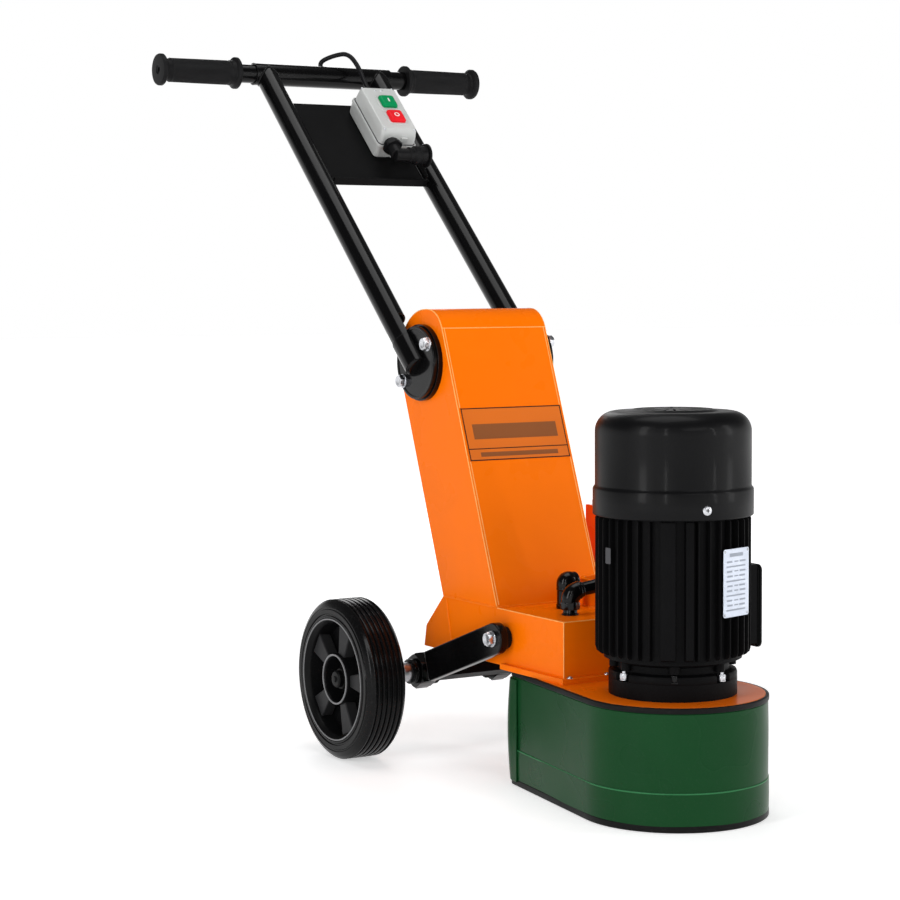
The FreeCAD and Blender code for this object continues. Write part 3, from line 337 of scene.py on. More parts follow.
metalSetup = {
    "zincPlate": {"colour": (0.62, 0.63, 0.66), "rough": 0.28, "stretch": (1, 1, 1), "grainSize": 300},
    "turnedSteel": {"colour": (0.42, 0.43, 0.45), "rough": 0.34, "stretch": (30, 1, 1), "grainSize": 60},
    "darkSteel": {"colour": (0.05, 0.045, 0.04), "rough": 0.42, "stretch": (8, 1, 1), "grainSize": 120},
    "plateMetal": {"colour": (0.56, 0.60, 0.68), "rough": 0.32, "stretch": (1, 1, 40), "grainSize": 60},
    "coreMetal": {"colour": (0.30, 0.20, 0.13), "rough": 0.45, "stretch": (1, 1, 60), "grainSize": 60},
    "segmentMetal": {"colour": (0.36, 0.34, 0.31), "rough": 0.6, "stretch": (1, 1, 1), "grainSize": 700},
}


def makeMetal(name, look):
    # bare or plated metal: brushing along one axis, stains, and a painted highlight that makes the edges lighter
    metal = newFinish(name, look["colour"], look["rough"], metal=1.0)
    brush = grain(metal, look["grainSize"], 4, look["stretch"])
    stain = grain(metal, 40, 5)
    base = tint(metal, stain, scaled(look["colour"], 0.8), scaled(look["colour"], 1.1))
    # painted highlight: a lighter copy of the colour along sharp edges
    feed(metal, "Base Color", layer(metal, edgeMask(metal, 0.0006), base, scaled(look["colour"], 1.3)))
    feed(metal, "Roughness", spread(metal, brush, look["rough"] - 0.08, look["rough"] + 0.12))
    addBump(metal, [(brush, 0.00006)], 0.4)
    return metal


castingSetup = {"colour": (0.0028, 0.0028, 0.0031), "rough": 0.44}


def makeCasting():
    # sand-cast iron under thick black paint
    casting = newFinish("castBlack", castingSetup["colour"], castingSetup["rough"], level=0.05)
    cloud = grain(casting, 20, 4)
    pits = grain(casting, 380, 4)
    base = tint(casting, cloud, scaled(castingSetup["colour"], 0.8), scaled(castingSetup["colour"], 1.3))
    feed(casting, "Base Color", base)
    feed(casting, "Roughness", spread(casting, pits, 0.38, 0.58))
    addBump(casting, [(cloud, 0.0005), (pits, 0.0003)], 0.5)
    return casting


finishes = {name: makePaint(name, look) for name, look in paintSetup.items()}
finishes.update({name: makeMoulded(name, look) for name, look in rubberSetup.items()})
finishes.update({name: makeMetal(name, look) for name, look in metalSetup.items()})
finishes["castBlack"] = makeCasting()
print("finishes made:", len(finishes))


# finishes on the carried-over parts

nodeFinish = {
    "orangePaint": ["chassis_box", "chassis_flange", "column_shell", "column_rear_cover", "cable_cleat",
                    "dust_port"],
    "deckPaint": ["deck_plate"],
    "blackGloss": ["pivot_discs", "wheel_arm_left", "wheel_arm_right",
                   "handle_leg_left", "handle_leg_right", "handle_plates", "cross_tube", "handlebar"],
    "blackMatt": ["wheel_cross_plate", "panel_plate", "grinding_disc"],
    "cowlPaint": ["fan_cowl"],
    "castBlack": ["motor_housing", "upper_shield", "lower_shield", "terminal_box", "terminal_lid"],
    "skirtRubber": ["skirt_upper", "skirt_lower"],
    "trimRubber": ["skirt_trims"],
    "cableRubber": ["motor_cable", "control_cable"],
    "gripRubber": ["grip_left", "grip_right"],
    "tyreRubber": ["tyre_left", "tyre_right"],
    "rimPlastic": ["wheel_rim_left", "wheel_rim_right"],
    "blackPlastic": ["angle_gland", "blank_elbow", "inlet_body", "inlet_flap", "contact_block", "cooling_fan"],
    "boxPlastic": ["switch_base", "switch_lid"],
    "greenPlastic": ["start_button"],
    "redPlastic": ["stop_button"],
    "zincPlate": ["flange_screws", "motor_fasteners", "disc_bolts", "arm_pivot_bolts", "handle_bolts"],
    "turnedSteel": ["motor_bearings", "motor_shaft", "wheel_axle"],
    "darkSteel": ["drive_hub", "axle_hardware"],
    "plateMetal": ["data_plate", "column_label"],
    "coreMetal": ["stator", "rotor"],
    "segmentMetal": ["diamond_segments"],
}
def dress():
    for name, members in nodeFinish.items():
        for member in members:
            held = nodes[member].data.materials
            held.clear()
            held.append(finishes[name])


dress()
print("carried-over parts dressed")


# makers of shapes

jointPlace = {joint["name"]: Vector(joint["pos_m"]) for joint in frame["joints"] if "pos_m" in joint}
motorAxis = Vector((0, jointPlace["spindle_spin"].y, 0))
handleLean = math.radians(46.5)     # the handle leans back this far from upright
columnLean = math.radians(20.7)
armLean = math.radians(19.4)


def leant(origin, angle):
    # a frame whose own Z leans towards +Y
    return Matrix.Translation(origin) @ Matrix.Rotation(-angle, 4, "X")


def facing(origin, direction):
    # a frame whose own Z points along direction
    turn = Vector(direction).normalized().to_track_quat("Z", "Y")
    return Matrix.Translation(Vector(origin)) @ turn.to_matrix().to_4x4()


onMotor = Matrix.Translation(motorAxis)
onHandle = leant(jointPlace["handle_tilt"], handleLean)
onArm = leant(jointPlace["wheel_frame_swing"], armLean)
columnFoot = Vector((0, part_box("column_shell")[0].y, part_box("column_shell")[0].z))
onColumn = leant(columnFoot, columnLean)


def addPiece(name, verts, faces, finish, body, place=Matrix.Identity(4), crease=35):
    mesh = bpy.data.meshes.new(name)
    mesh.from_pydata([place @ Vector(vert) for vert in verts], [], faces)
    mesh.validate()
    mesh.materials.append(finishes[finish])
    mesh.shade_smooth()
    mesh.set_sharp_from_angle(angle=math.radians(crease))
    piece = bpy.data.objects.new(name, mesh)
    scene.collection.objects.link(piece)
    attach(piece, body)
    return piece


def roundOff(piece, width, segments=3, angle=35):
    bevel = piece.modifiers.new("roundOff", "BEVEL")
    bevel.width = width * mm
    bevel.segments = segments
    bevel.limit_method = "ANGLE"
    bevel.angle_limit = math.radians(angle)
    bevel.harden_normals = True
    return piece


def spun(name, profile, place, finish, body, steps=96, shape=None, closed=True):
    # turns (radius, height) points in mm about the frame's Z; shape can change the radius by bearing
    verts = []
    for step in range(steps):
        bearing = 2 * math.pi * step / steps
        for radius, height in profile:
            reach = shape(bearing, radius, height) if shape else radius
            verts.append((reach * mm * math.cos(bearing), reach * mm * math.sin(bearing), height * mm))
    count = len(profile)
    faces = []
    for step in range(steps):
        here, there = step * count, (step + 1) % steps * count
        for index in range(count if closed else count - 1):
            after = (index + 1) % count
            faces.append((here + index, there + index, there + after, here + after))
    return addPiece(name, verts, faces, finish, body, place)


def rounded(profile, radius, steps=4):
    # the same closed outline with every corner turned into a small arc
    result = []
    for index, corner in enumerate(profile):
        here = Vector(corner)
        before = Vector(profile[index - 1]) - here
        after = Vector(profile[(index + 1) % len(profile)]) - here
        back = min(radius, 0.45 * before.length, 0.45 * after.length)
        start, end = here + before.normalized() * back, here + after.normalized() * back
        for step in range(steps + 1):
            t = step / steps
            result.append(tuple(start * (1 - t) ** 2 + here * 2 * t * (1 - t) + end * t ** 2))
    return result


def slab(name, outline, low, high, place, finish, body, bevel=0.8, taper=1.0):
    # a flat outline in mm raised along the frame's Z; taper shrinks the top
    count = len(outline)
    verts = [(x * mm, y * mm, low * mm) for x, y in outline]
    verts += [(x * taper * mm, y * taper * mm, high * mm) for x, y in outline]
    faces = [tuple(range(count))[::-1], tuple(range(count, 2 * count))]
    for index in range(count):
        after = (index + 1) % count
        faces.append((index, after, count + after, count + index))
    return roundOff(addPiece(name, verts, faces, finish, body, place), bevel)


def roundSquare(wide, tall, radius, steps=5):
    points = []
    for turn, (x, y) in enumerate(((1, 1), (-1, 1), (-1, -1), (1, -1))):
        for step in range(steps + 1):
            bearing = math.radians(90 * turn + 90 * step / steps)
            points.append((x * (wide / 2 - radius) + radius * math.cos(bearing),
                           y * (tall / 2 - radius) + radius * math.sin(bearing)))
    return points


def hexShape(flats):
    def shape(bearing, radius, height):
        off = (math.degrees(bearing) + 30) % 60 - 30
        return min(radius, flats / 2 / math.cos(math.radians(off)))
    return shape


def hexBolt(name, place, flats, height, finish, body, washer=None, washerThick=1.6):
    # chamfered hex head with a dished crown, on a flat washer
    corner = flats / 2 / math.cos(math.radians(30))
    crown = flats / 2 * 0.62
    head = [(0.01, washerThick), (corner - 0.6, washerThick), (corner, washerThick + 0.5),
            (corner, washerThick + height - 1.6), (flats / 2 - 0.2, washerThick + height),
            (crown, washerThick + height),
            (crown - 0.8, washerThick + height - 0.5), (0.01, washerThick + height - 0.5)]
    bolt = spun(name, head, place, finish, body, 72, hexShape(flats))
    if washer:
        ring = [(0.01, 0), (washer - 0.3, 0), (washer, 0.3), (washer, washerThick - 0.3),
                (washer - 0.3, washerThick), (0.01, washerThick)]
        spun(name + "Washer", ring, place, finish, body, 48)
    return bolt


def panScrew(name, place, radius, height, finish, body):
    # domed head with a cross recess cut into its crown
    dome = [(radius * math.cos(math.radians(a)), height * math.sin(math.radians(a))) for a in range(0, 78, 13)]
    recess = [(radius * 0.34, height * 0.93), (radius * 0.26, height * 0.45), (0.01, height * 0.4)]

    def star(bearing, reach, level):
        inner = reach <= radius * 0.35
        arm = abs(math.cos(2 * bearing)) ** 3
        return reach * (0.45 + 0.9 * arm) if inner and reach > 0.1 else reach
    return spun(name, [(0.01, 0)] + dome + recess, place, finish, body, 48, star)


def rope(name, line, finish, body, radiusAt, sides=12, place=Matrix.Identity(4)):
    # a round section carried along a line of points; radiusAt gives the radius in mm at each one
    verts, faces = [], []
    last = len(line) - 1
    side = None
    for index, spot in enumerate(line):
        ahead = (line[min(index + 1, last)] - line[max(index - 1, 0)]).normalized()
        side = (side - ahead * side.dot(ahead)).normalized() if side else ahead.orthogonal().normalized()
        other = ahead.cross(side)
        reach = radiusAt(index) * mm
        for turn in range(sides):
            bearing = 2 * math.pi * turn / sides
            verts.append(spot + side * reach * math.cos(bearing) + other * reach * math.sin(bearing))
    for index in range(last):
        for turn in range(sides):
            after = (turn + 1) % sides
            faces.append((index * sides + turn, index * sides + after, (index + 1) * sides + after,
                          (index + 1) * sides + turn))
    faces.append(tuple(range(sides))[::-1])
    faces.append(tuple(last * sides + turn for turn in range(sides)))
    return addPiece(name, verts, faces, finish, body, place)


def weldBead(name, points, width, finish, body, place=Matrix.Identity(4), closed=False):
    # overlapping ripples laid along a joint, a little uneven
    spots = [Vector(point) * mm for point in points]
    if closed:
        spots.append(spots[0])
    line = []
    for start, end in zip(spots, spots[1:]):
        count = max(2, int((end - start).length / (0.9 * mm)))
        line += [start.lerp(end, step / count) for step in range(count)]
    line.append(spots[-1])

    def uneven(index):
        return width * (0.78 + 0.22 * abs(math.sin(index * 0.9)) + 0.16 * noise.noise(line[index] * 140))
    return rope(name, line, finish, body, uneven, 8, place)


def circlePoints(radius, height=0, steps=48, start=0, sweep=360):
    return [(radius * math.cos(math.radians(start + sweep * step / steps)),
             radius * math.sin(math.radians(start + sweep * step / steps)), height) for step in range(steps)]


# skirt and deck

skirtSetup = {
    "noseRadius": 128.7, "cornerRadius": 20, "tailHalf": 91, "tailY": -182.5,
    "seam": 52, "top": 162, "foot": 6, "wall": 4, "bandOut": 5.0, "waviness": 0.7,
}


def skirtPath(count=64):
    # (centre, radius, bearing) all round the wall: nose arc, two straight flanks and two tail corners
    side = skirtSetup["tailHalf"] - skirtSetup["cornerRadius"]
    tail = skirtSetup["tailY"] - skirtSetup["cornerRadius"]
    nose = Vector((0, motorAxis.y * 1000))
    corner = Vector((side, tail))
    gap = corner - nose
    drop = skirtSetup["noseRadius"] - skirtSetup["cornerRadius"]
    lean = math.degrees(math.atan2(gap.y, gap.x) - math.acos(drop / gap.length))
    path = []
    for step in range(count + 1):
        path.append((nose, skirtSetup["noseRadius"], 180 - lean + (180 + 2 * lean) * step / count))
    flank = count // 2
    for step in range(1, flank):
        share = step / flank
        path.append((nose.lerp(corner, share), skirtSetup["noseRadius"] - drop * share, lean))
    for step in range(13):
        path.append((corner, skirtSetup["cornerRadius"], lean + (90 - lean) * step / 12))
    for step in range(1, 12):
        path.append((Vector((side * (1 - step / 6), tail)), skirtSetup["cornerRadius"], 90))
    left = Vector((-side, tail))
    for step in range(13):
        path.append((left, skirtSetup["cornerRadius"], 90 + (90 - lean) * step / 12))
    for step in range(1, flank):
        share = step / flank
        path.append((left.lerp(nose, share), skirtSetup["cornerRadius"] + drop * share, 180 - lean))
    return path


def skirtPiece(name, section, finish, wave=0.0, part=None, closed=True):
    # carries a closed section of (outward, height) points round the wall
    path = skirtPath()
    if part:
        path = path[part[0]:part[1]]
    count = len(section)
    verts = []
    for centre, radius, bearing in path:
        out = Vector((math.cos(math.radians(bearing)), math.sin(math.radians(bearing))))
        for outward, height in section:
            spot = centre + out * (radius + outward)
            ripple = wave * noise.noise(Vector((spot.x * 0.012, spot.y * 0.012, height * 0.02)))
            spot = spot + out * ripple
            verts.append((spot.x * mm, spot.y * mm, height * mm))
    faces = []
    rows = len(path)
    for row in range(rows if closed else rows - 1):
        here, there = row * count, (row + 1) % rows * count
        for index in range(count):
            after = (index + 1) % count
            faces.append((here + index, here + after, there + after, there + index))
    if not closed:
        faces.append(tuple(range(count)))
        faces.append(tuple((rows - 1) * count + index for index in range(count))[::-1])
    return addPiece(name, verts, faces, finish, "chassis")


def wallSection(inner, outer, low, high, bulge=0.0, steps=8):
    # upright wall, rounded at both ends, slightly bellied between them
    outerSide = []
    for step in range(steps + 1):
        share = step / steps
        outerSide.append((outer + bulge * math.sin(math.pi * share), low + 1.2 + (high - low - 2.4) * share))
    return [(inner, low), (outer - 1.0, low), *outerSide, (outer - 1.0, high), (inner, high)]


def makeLap():
    # loose end of the wrap at the rear left: a flap that stands off the wall and bows out at mid height
    s = skirtSetup
    corner = [row for row in skirtPath() if row[1] <= s["cornerRadius"] + 0.01 and row[0].x < 0][6:]
    flank = [row for row in skirtPath() if row[0].x < 0 and s["cornerRadius"] + 0.01 < row[1]
             and row[1] < s["cornerRadius"] + 10]
    rows = corner + flank[:3]
    levels, verts, faces = 25, [], []
    for side in (0, 1):
        for number, (centre, radius, bearing) in enumerate(rows):
            out = Vector((math.cos(math.radians(bearing)), math.sin(math.radians(bearing))))
            free = 1 - number / (len(rows) - 1)
            for level in range(levels):
                share = level / (levels - 1)
                belly = math.sin(math.pi * share) ** 0.8
                spot = centre + out * (radius + 4.6 + 2.6 * side + 9.5 * belly * free ** 1.3)
                verts.append((spot.x * mm, spot.y * mm, (7 + 152 * share) * mm))
    half = len(rows) * levels
    for number in range(len(rows) - 1):
        for level in range(levels - 1):
            a = number * levels + level
            faces.append((a, a + levels, a + levels + 1, a + 1))
            faces.append((half + a, half + a + 1, half + a + levels + 1, half + a + levels))
    edge = list(range(levels))
    edge += [number * levels + levels - 1 for number in range(1, len(rows))]
    edge += [(len(rows) - 1) * levels + level for level in range(levels - 2, -1, -1)]
    edge += [number * levels for number in range(len(rows) - 2, 0, -1)]
    for index, a in enumerate(edge):
        b = edge[(index + 1) % len(edge)]
        faces.append((a, b, half + b, half + a))
    roundOff(addPiece("skirtLap", verts, faces, "skirtRubber", "chassis"), 0.9, 2, 40)


def makeSkirt():
    s = skirtSetup
    upper = wallSection(0.3, s["wall"] - 0.2, s["seam"] + 0.3, s["top"], 0.4)
    wall = skirtPiece("skirtWall", upper, "skirtRubber",
                      s["waviness"])
    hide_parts("skirt_upper")
    lower = wallSection(1.5, s["bandOut"] - 0.2, s["foot"], s["seam"] + 2.5, 0.2)
    band = skirtPiece("skirtBand", lower, "skirtRubber",
                      s["waviness"])
    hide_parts("skirt_lower")
    trim = skirtPiece("deckTrim", rounded([(0.2, 161.8), (4.9, 161.8), (4.9, 170), (0.2, 170)], 2.2), "trimRubber")
    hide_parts("skirt_trims")
    skirtPiece("footTrim", rounded([(1.5, 0.6), (5.2, 0.6), (5.2, 10), (1.5, 10)], 1.6), "trimRubber")
    # seam welt in a lighter green: painted highlight along the seam
    skirtPiece("seamWelt", rounded([(2.4, 52.4), (4.9, 52.4), (4.9, 54.6), (2.4, 54.6)], 0.8), "weltHighlightRubber")
    makeLap()


makeSkirt()
print("skirt made")


# tyres and wheels

wheelSetup = {"radius": 125, "half": 35, "rim": 92, "spokes": 5, "firstSpoke": 15.6,
              "grooves": (-21, -12.6, -4.2, 4.2, 12.6, 21), "grooveHalf": 1.2, "grooveDeep": 2.6}


def tyreProfile():
    w = wheelSetup
    side = [(w["rim"] + 0.2, w["half"] - 5), (w["rim"] + 3.9, w["half"] - 4), (w["rim"] + 4.4, w["half"] - 0.4),
            (w["rim"] + 7, w["half"] - 0.6), (w["rim"] + 8, w["half"] - 2.4), (w["rim"] + 10, w["half"] - 2.6),
            (w["rim"] + 11, w["half"] - 0.9), (w["rim"] + 17, w["half"] - 0.8), (w["rim"] + 18.2, w["half"] - 2.6),
            (w["rim"] + 20, w["half"] - 2.8), (w["rim"] + 21.2, w["half"] - 2.0), (w["rim"] + 27, w["half"] - 4.6),
            (w["radius"] - 3.0, w["half"] - 7), (w["radius"] - 1.2, w["half"] - 10)]
    tread = []
    for groove in reversed(w["grooves"]):
        edge = w["grooveHalf"]
        crown = 0.9 * (groove / w["half"]) ** 2
        tread += [(w["radius"] - crown, groove + edge + 2.2), (w["radius"] - crown - 0.4, groove + edge + 0.5),
                  (w["radius"] - w["grooveDeep"], groove + edge), (w["radius"] - w["grooveDeep"], groove - edge),
                  (w["radius"] - crown - 0.4, groove - edge - 0.5), (w["radius"] - crown, groove - edge - 2.2)]
    back = [(radius, -height) for radius, height in reversed(side)]
    return side + tread + back


def rimProfile():
    rim = wheelSetup["rim"]
    return rounded([(12.6, -33), (24, -33), (24, -2), (rim - 12, -2), (rim - 12, -30), (rim, -32.5), (rim, 30),
                    (rim + 3.6, 31), (rim + 3.8, 34), (rim + 1.4, 34.4), (rim - 0.5, 32), (rim - 4, 26),
                    (rim - 7, 2), (42, 2), (40.4, 26), (39.4, 29), (36.8, 29), (35.2, 26.5), (33, 2), (18, 2),
                    (17.4, 14), (16, 17), (12.6, 17)], 1.6, 3)


def makeWheel(side, label):
    # side is -1 or 1; the outer face of the wheel looks along it
    body = label + "_wheel"
    hub = jointPlace[label + "_wheel_spin"]
    place = facing(hub, (side, 0, 0))
    tyre = spun("tyre" + label.title(), tyreProfile(), place, "tyreRubber", body, 128)
    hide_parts("tyre_" + label)
    rim = spun("rim" + label.title(), rimProfile(), place, "rimPlastic", body, 96)
    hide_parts("wheel_rim_" + label)
    for index in range(wheelSetup["spokes"]):
        turn = math.radians(wheelSetup["firstSpoke"] + 360 / wheelSetup["spokes"] * index)
        along = Vector((0, -math.sin(turn), math.cos(turn)))
        out = Vector((side, 0, 0))
        basis = Matrix((along, out.cross(along), out)).transposed().to_4x4()
        spoke = Matrix.Translation(hub) @ basis
        outline = [(36, -8.5), (wheelSetup["rim"] - 4, -19), (wheelSetup["rim"] - 4, 19), (36, 8.5)]
        slab(f"spoke{label.title()}{index}", outline, 4, 23, spoke, "spokePlastic", body, 2.2, 0.985)
    # hub and rim rings in pale grey: painted highlight lines round the wheel
    hubRing = rounded([(36.6, 25), (39.6, 25), (39.6, 29.8), (36.6, 29.8)], 0.9)
    spun("hubRing" + label.title(), hubRing, place, "ringHighlightPlastic", body, 128)
    rimRing = rounded([(93.2, 32.5), (95.4, 32.5), (95.4, 34.9), (93.2, 34.9)], 0.7)
    spun("rimRing" + label.title(), rimRing, place, "ringHighlightPlastic", body, 128)


def makeAxle():
    # shouldered spacer, collar and large nut beside each wheel, and the cap on the axle's end
    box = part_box("axle_hardware")
    centre = (box[0] + box[1]) / 2
    for side, label in ((-1, "Left"), (1, "Right")):
        place = facing((0, centre.y, centre.z), (side, 0, 0))
        corner = 25 / math.cos(math.radians(30))
        nut = [(12.6, 58), (corner - 2.6, 58), (corner, 60.5), (corner, 82), (corner - 2.6, 84.8), (12.6, 84.8)]
        hardware = spun("axleNut" + label, nut, place, "blackGloss", "wheel_frame", 72, hexShape(50))
        collar = rounded([(12.6, 85), (20, 85), (20, 88), (18.4, 89), (20, 90), (20, 93), (18.4, 94), (20, 95.2),
                          (19, 96), (12.6, 96)], 0.5, 2)
        spun("axleCollar" + label, collar, place, "blackGloss", "wheel_frame", 64)
        spacer = rounded([(12.6, 96), (15.8, 96), (15.8, 110), (14.8, 111), (14.8, 160), (15.8, 161),
                          (15.8, 166), (12.6, 166)], 0.6, 2)
        spun("axleSpacer" + label, spacer, place, "turnedSteel", "wheel_frame", 64)
        washer = rounded([(12.3, 217.4), (16, 217.4), (16, 219), (12.3, 219)], 0.5, 2)
        spun("axleWasher" + label, washer, place, "trimRubber", "wheel_frame", 64)
        cap = [(0.01, 216), (13.4, 216), (13.4, 225.4), (11.4, 227.6), (5, 228), (4.2, 230.2), (0.01, 230.4)]
        spun("axleCap" + label, cap, place, "rimPlastic", "wheel_frame", 64)
        if side < 0:
            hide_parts("axle_hardware")


makeWheel(-1, "left")
makeWheel(1, "right")
makeAxle()
print("wheels made")


# motor

motorSetup = {
    "bodyRadius": 99, "finRadius": 108, "low": 227, "high": 418, "seatHalf": 23, "pitch": 9.06,
    "widePad": -130, "widePadHalf": 5.4, "rib": -113.6, "ribHalf": 2.3, "cowlTop": 564, "cowlRadius": 110,
    "band": 456, "bandLow": 420,
}


def bearingGap(bearing, other):
    return abs((bearing - other + 180) % 360 - 180)


def finShape(bearing, radius, height):
    # thin fins all round, with one wide pad, one thick rib and a flat seat for the terminal box
    if radius < 98:
        return radius
    m = motorSetup
    degrees = math.degrees(bearing)
    if bearingGap(degrees, 0) < m["seatHalf"]:
        return min(100.4 / math.cos(math.radians(bearingGap(degrees, 0))), 107)
    if bearingGap(degrees, m["widePad"]) < m["widePadHalf"]:
        rise = 1.0
    elif bearingGap(degrees, m["rib"]) < m["ribHalf"]:
        rise = 1.0
    elif bearingGap(degrees, m["widePad"]) < m["widePadHalf"] + 2.4:
        rise = 0.0
    else:
        off = abs((degrees - 26 + m["pitch"] / 2) % m["pitch"] - m["pitch"] / 2)
        rise = max(0.0, 1.0 - max(0.0, off - 0.55) / 0.45)
    return m["bodyRadius"] + (radius - m["bodyRadius"]) * rise


def pocketShape(bearing, radius, height):
    # the foot's collar is cut back round each nut and body lug
    if radius < 80:
        return radius
    near = min(bearingGap(math.degrees(bearing), nut) for nut in (2, 105, 182, 285))
    depth = min(1.0, max(0.0, (8.5 - near) / 2.5))
    return radius - (radius - 76) * depth


def makeMotorBody():
    m = motorSetup
    outside = [(88.2, m["low"]), (99, m["low"]), (103, m["low"] + 0.6), (106.4, m["low"] + 3),
               (m["finRadius"], m["low"] + 8), (m["finRadius"], m["high"] - 4), (106.5, m["high"] - 0.6),
               (99, m["high"]), (88.2, m["high"])]
    body = spun("motorBody", outside, onMotor, "castBlack", "chassis", 1080, finShape)
    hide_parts("motor_housing")
    collar = [(74, 192), (88.6, 192), (89.2, 193), (89.2, 201), (88, 203.6), (80.5, 205.5), (74, 206)]
    spun("motorFootCollar", collar, onMotor, "castBlack", "chassis", 360, pocketShape)


def makeCowl():
    # one drawn shell: band, step, straight wall, round shoulder, raised lid with air slots
    m = motorSetup
    top, wide = m["cowlTop"], m["cowlRadius"]
    shoulder = 26
    line = [(wide - 0.6, m["bandLow"] + 0.2), (wide - 0.1, m["bandLow"] + 1.2), (wide - 0.1, m["band"] - 1.4)]
    line += [(wide - 0.8, m["band"] + 0.4), (wide - 2.6, m["band"] + 2.4), (wide - 3.2, m["band"] + 5)]
    line += [(wide - 3.2, top - 3 - shoulder - 24 * (1 - share)) for share in (0.0, 0.5, 0.9)]
    for step in range(13):
        bearing = math.radians(90 * step / 12)
        line.append((wide - 3.2 - shoulder + shoulder * math.cos(bearing),
                     top - 3.2 - shoulder + shoulder * math.sin(bearing)))
    line += [(66, top - 3.1), (63, top - 2.7), (60, top - 1.6), (57, top - 0.9), (55.5, top - 0.6)]
    inner = [(54, top - 0.5), (26, top - 0.4), (20, top - 0.4), (0.02, top - 0.2)]
    profile = line + inner
    cowl = spun("fanCowl", profile, onMotor, "cowlPaint", "chassis", 120, None, closed=False)
    slotRow = len(line)
    count = len(profile) - 1
    keep = []
    for face in cowl.data.polygons:
        step, row = divmod(face.index, count)
        if not (row == slotRow and step % 6 < 2):
            keep.append(tuple(face.vertices))
    shell = bpy.data.meshes.new("fanCowlShell")
    shell.from_pydata([vert.co[:] for vert in cowl.data.vertices], [], keep)
    shell.materials.append(finishes["cowlPaint"])
    shell.shade_smooth()
    shell.set_sharp_from_angle(angle=math.radians(35))
    cowl.data = shell
    wall = cowl.modifiers.new("wall", "SOLIDIFY")
    wall.thickness = 1.6 * mm
    wall.offset = 1 if shell.polygons[0].normal.dot(shell.polygons[0].center - motorAxis) < 0 else -1
    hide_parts("fan_cowl")


def motorSpot(bearing, radius, height):
    # a frame on the motor's side whose Z points straight out
    turn = math.radians(bearing)
    out = Vector((math.cos(turn), math.sin(turn), 0))
    return facing(motorAxis + out * radius * mm + Vector((0, 0, height * mm)), out)


def makeMotorFasteners():
    m = motorSetup
    for index in range(3):
        place = motorSpot(-102 + 120 * index, m["cowlRadius"] - 0.2, 433)
        screw = panScrew(f"cowlScrew{index}", place, 7.2, 3.6, "zincPlate", "chassis")
        ring = [(0.01, 0), (8.6, 0), (8.6, 0.7), (0.01, 0.7)]
        spun(f"cowlScrewWasher{index}", ring, place, "zincPlate", "chassis", 40)
    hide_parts("motor_fasteners")
    for index, bearing in enumerate((2, 105, 182, 285)):
        spot = motorSpot(bearing, 84.9, 194.2).translation
        hexBolt(f"footNut{index}", Matrix.Translation(spot), 10, 8, "zincPlate", "chassis", 6)
        stud = [(0.01, 9), (2.9, 9), (2.9, 12.4), (2.3, 13), (0.01, 13)]
        spun(f"footStud{index}", stud, Matrix.Translation(spot), "zincPlate", "chassis", 24)
    for index, bearing in enumerate((55, 235)):
        spot = motorSpot(bearing, 85.9, 196).translation
        hexBolt(f"bodyBolt{index}", Matrix.Translation(spot), 9, 9, "blackGloss", "chassis", 6)


def uprightSpot(bearing, radius, height):
    # a frame on the motor's side: X round it, Y up, Z straight out
    turn = math.radians(bearing)
    around = Vector((-math.sin(turn), math.cos(turn), 0))
    out = Vector((math.cos(turn), math.sin(turn), 0))
    basis = Matrix((around, Vector((0, 0, 1)), out)).transposed().to_4x4()
    return Matrix.Translation(motorSpot(bearing, radius, height).translation) @ basis


def makeDataPlate():
    # thin plate with rows of blank printed fields, held by four rivets
    m = motorSetup
    upright = uprightSpot(-75, m["finRadius"] + 0.4, 332.5)
    tag = uprightSpot(179, m["finRadius"] - 0.2, 367)
    slab("seriesTag", roundSquare(12, 22, 1.5), 0, 0.9, tag, "tagGrey", "chassis", 0.3)
    sheet = slab("dataPlate", roundSquare(56, 93, 3), 0, 1.1, upright, "plateMetal", "chassis", 0.25)
    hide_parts("data_plate")
    for index, (x, y) in enumerate(((-25, -43), (25, -43), (-25, 43), (25, 43))):
        rivet = [(0.01, 0.9), (1.8, 0.9), (1.7, 1.6), (1.0, 2.1), (0.01, 2.2)]
        spun(f"plateRivet{index}", rivet, upright @ Matrix.Translation((x * mm, y * mm, 0)), "turnedSteel",
             "chassis", 24)
    rows = [(0, 38, 30, 5)]
    for line in range(11):
        height = 29 - 6.6 * line
        if line % 3 == 1:
            rows.append((-1, height, 42, 2.2))
        else:
            rows += [(-15 + line % 2, height, 12, 2.6), (0, height, 9, 1.8), (14 - line % 2, height, 13, 2.6)]
    for index, (x, y, wide, tall) in enumerate(rows):
        field = [(x + a * wide / 2, y + b * tall / 2) for a, b in ((-1, -1), (1, -1), (1, 1), (-1, 1))]
        slab(f"plateField{index}", field, 1.0, 1.16, upright, "fieldGrey", "chassis", 0.02)


def makeTerminalBox():
    # cast lid with a rounded rim, a raised middle and four corner screws
    upright = Matrix.Translation(motorAxis) @ Matrix(((0, 0, 1), (1, 0, 0), (0, 1, 0))).to_4x4()
    low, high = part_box("terminal_lid")
    middle = Matrix.Translation((0, 0, (low.z + high.z) / 2))
    place = middle @ upright @ Matrix.Translation((0, -3.2 * mm, 2.6 * mm))
    lid = slab("terminalLid", roundSquare(76.6, 117.6, 8), 120.1, 125.2, place, "castBlack", "chassis", 1.6)
    slab("terminalLidCrown", roundSquare(62, 100, 10), 125, 127, place, "castBlack", "chassis", 1.2)
    slab("terminalGasket", roundSquare(72.6, 112.6, 5), 118.6, 120.2, place, "trimRubber", "chassis", 0.3)
    for index, (y, z) in enumerate(((-32, -52), (32, -52), (-32, 52), (32, 52))):
        panScrew(f"terminalScrew{index}", place @ Matrix.Translation((y * mm, z * mm, 125.2 * mm)), 3.4, 1.8,
                 "zincPlate", "chassis")
    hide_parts("terminal_lid")


makeMotorBody()
makeCowl()
makeMotorFasteners()
makeDataPlate()
makeTerminalBox()
print("motor made")


# wheel arms and their bolts

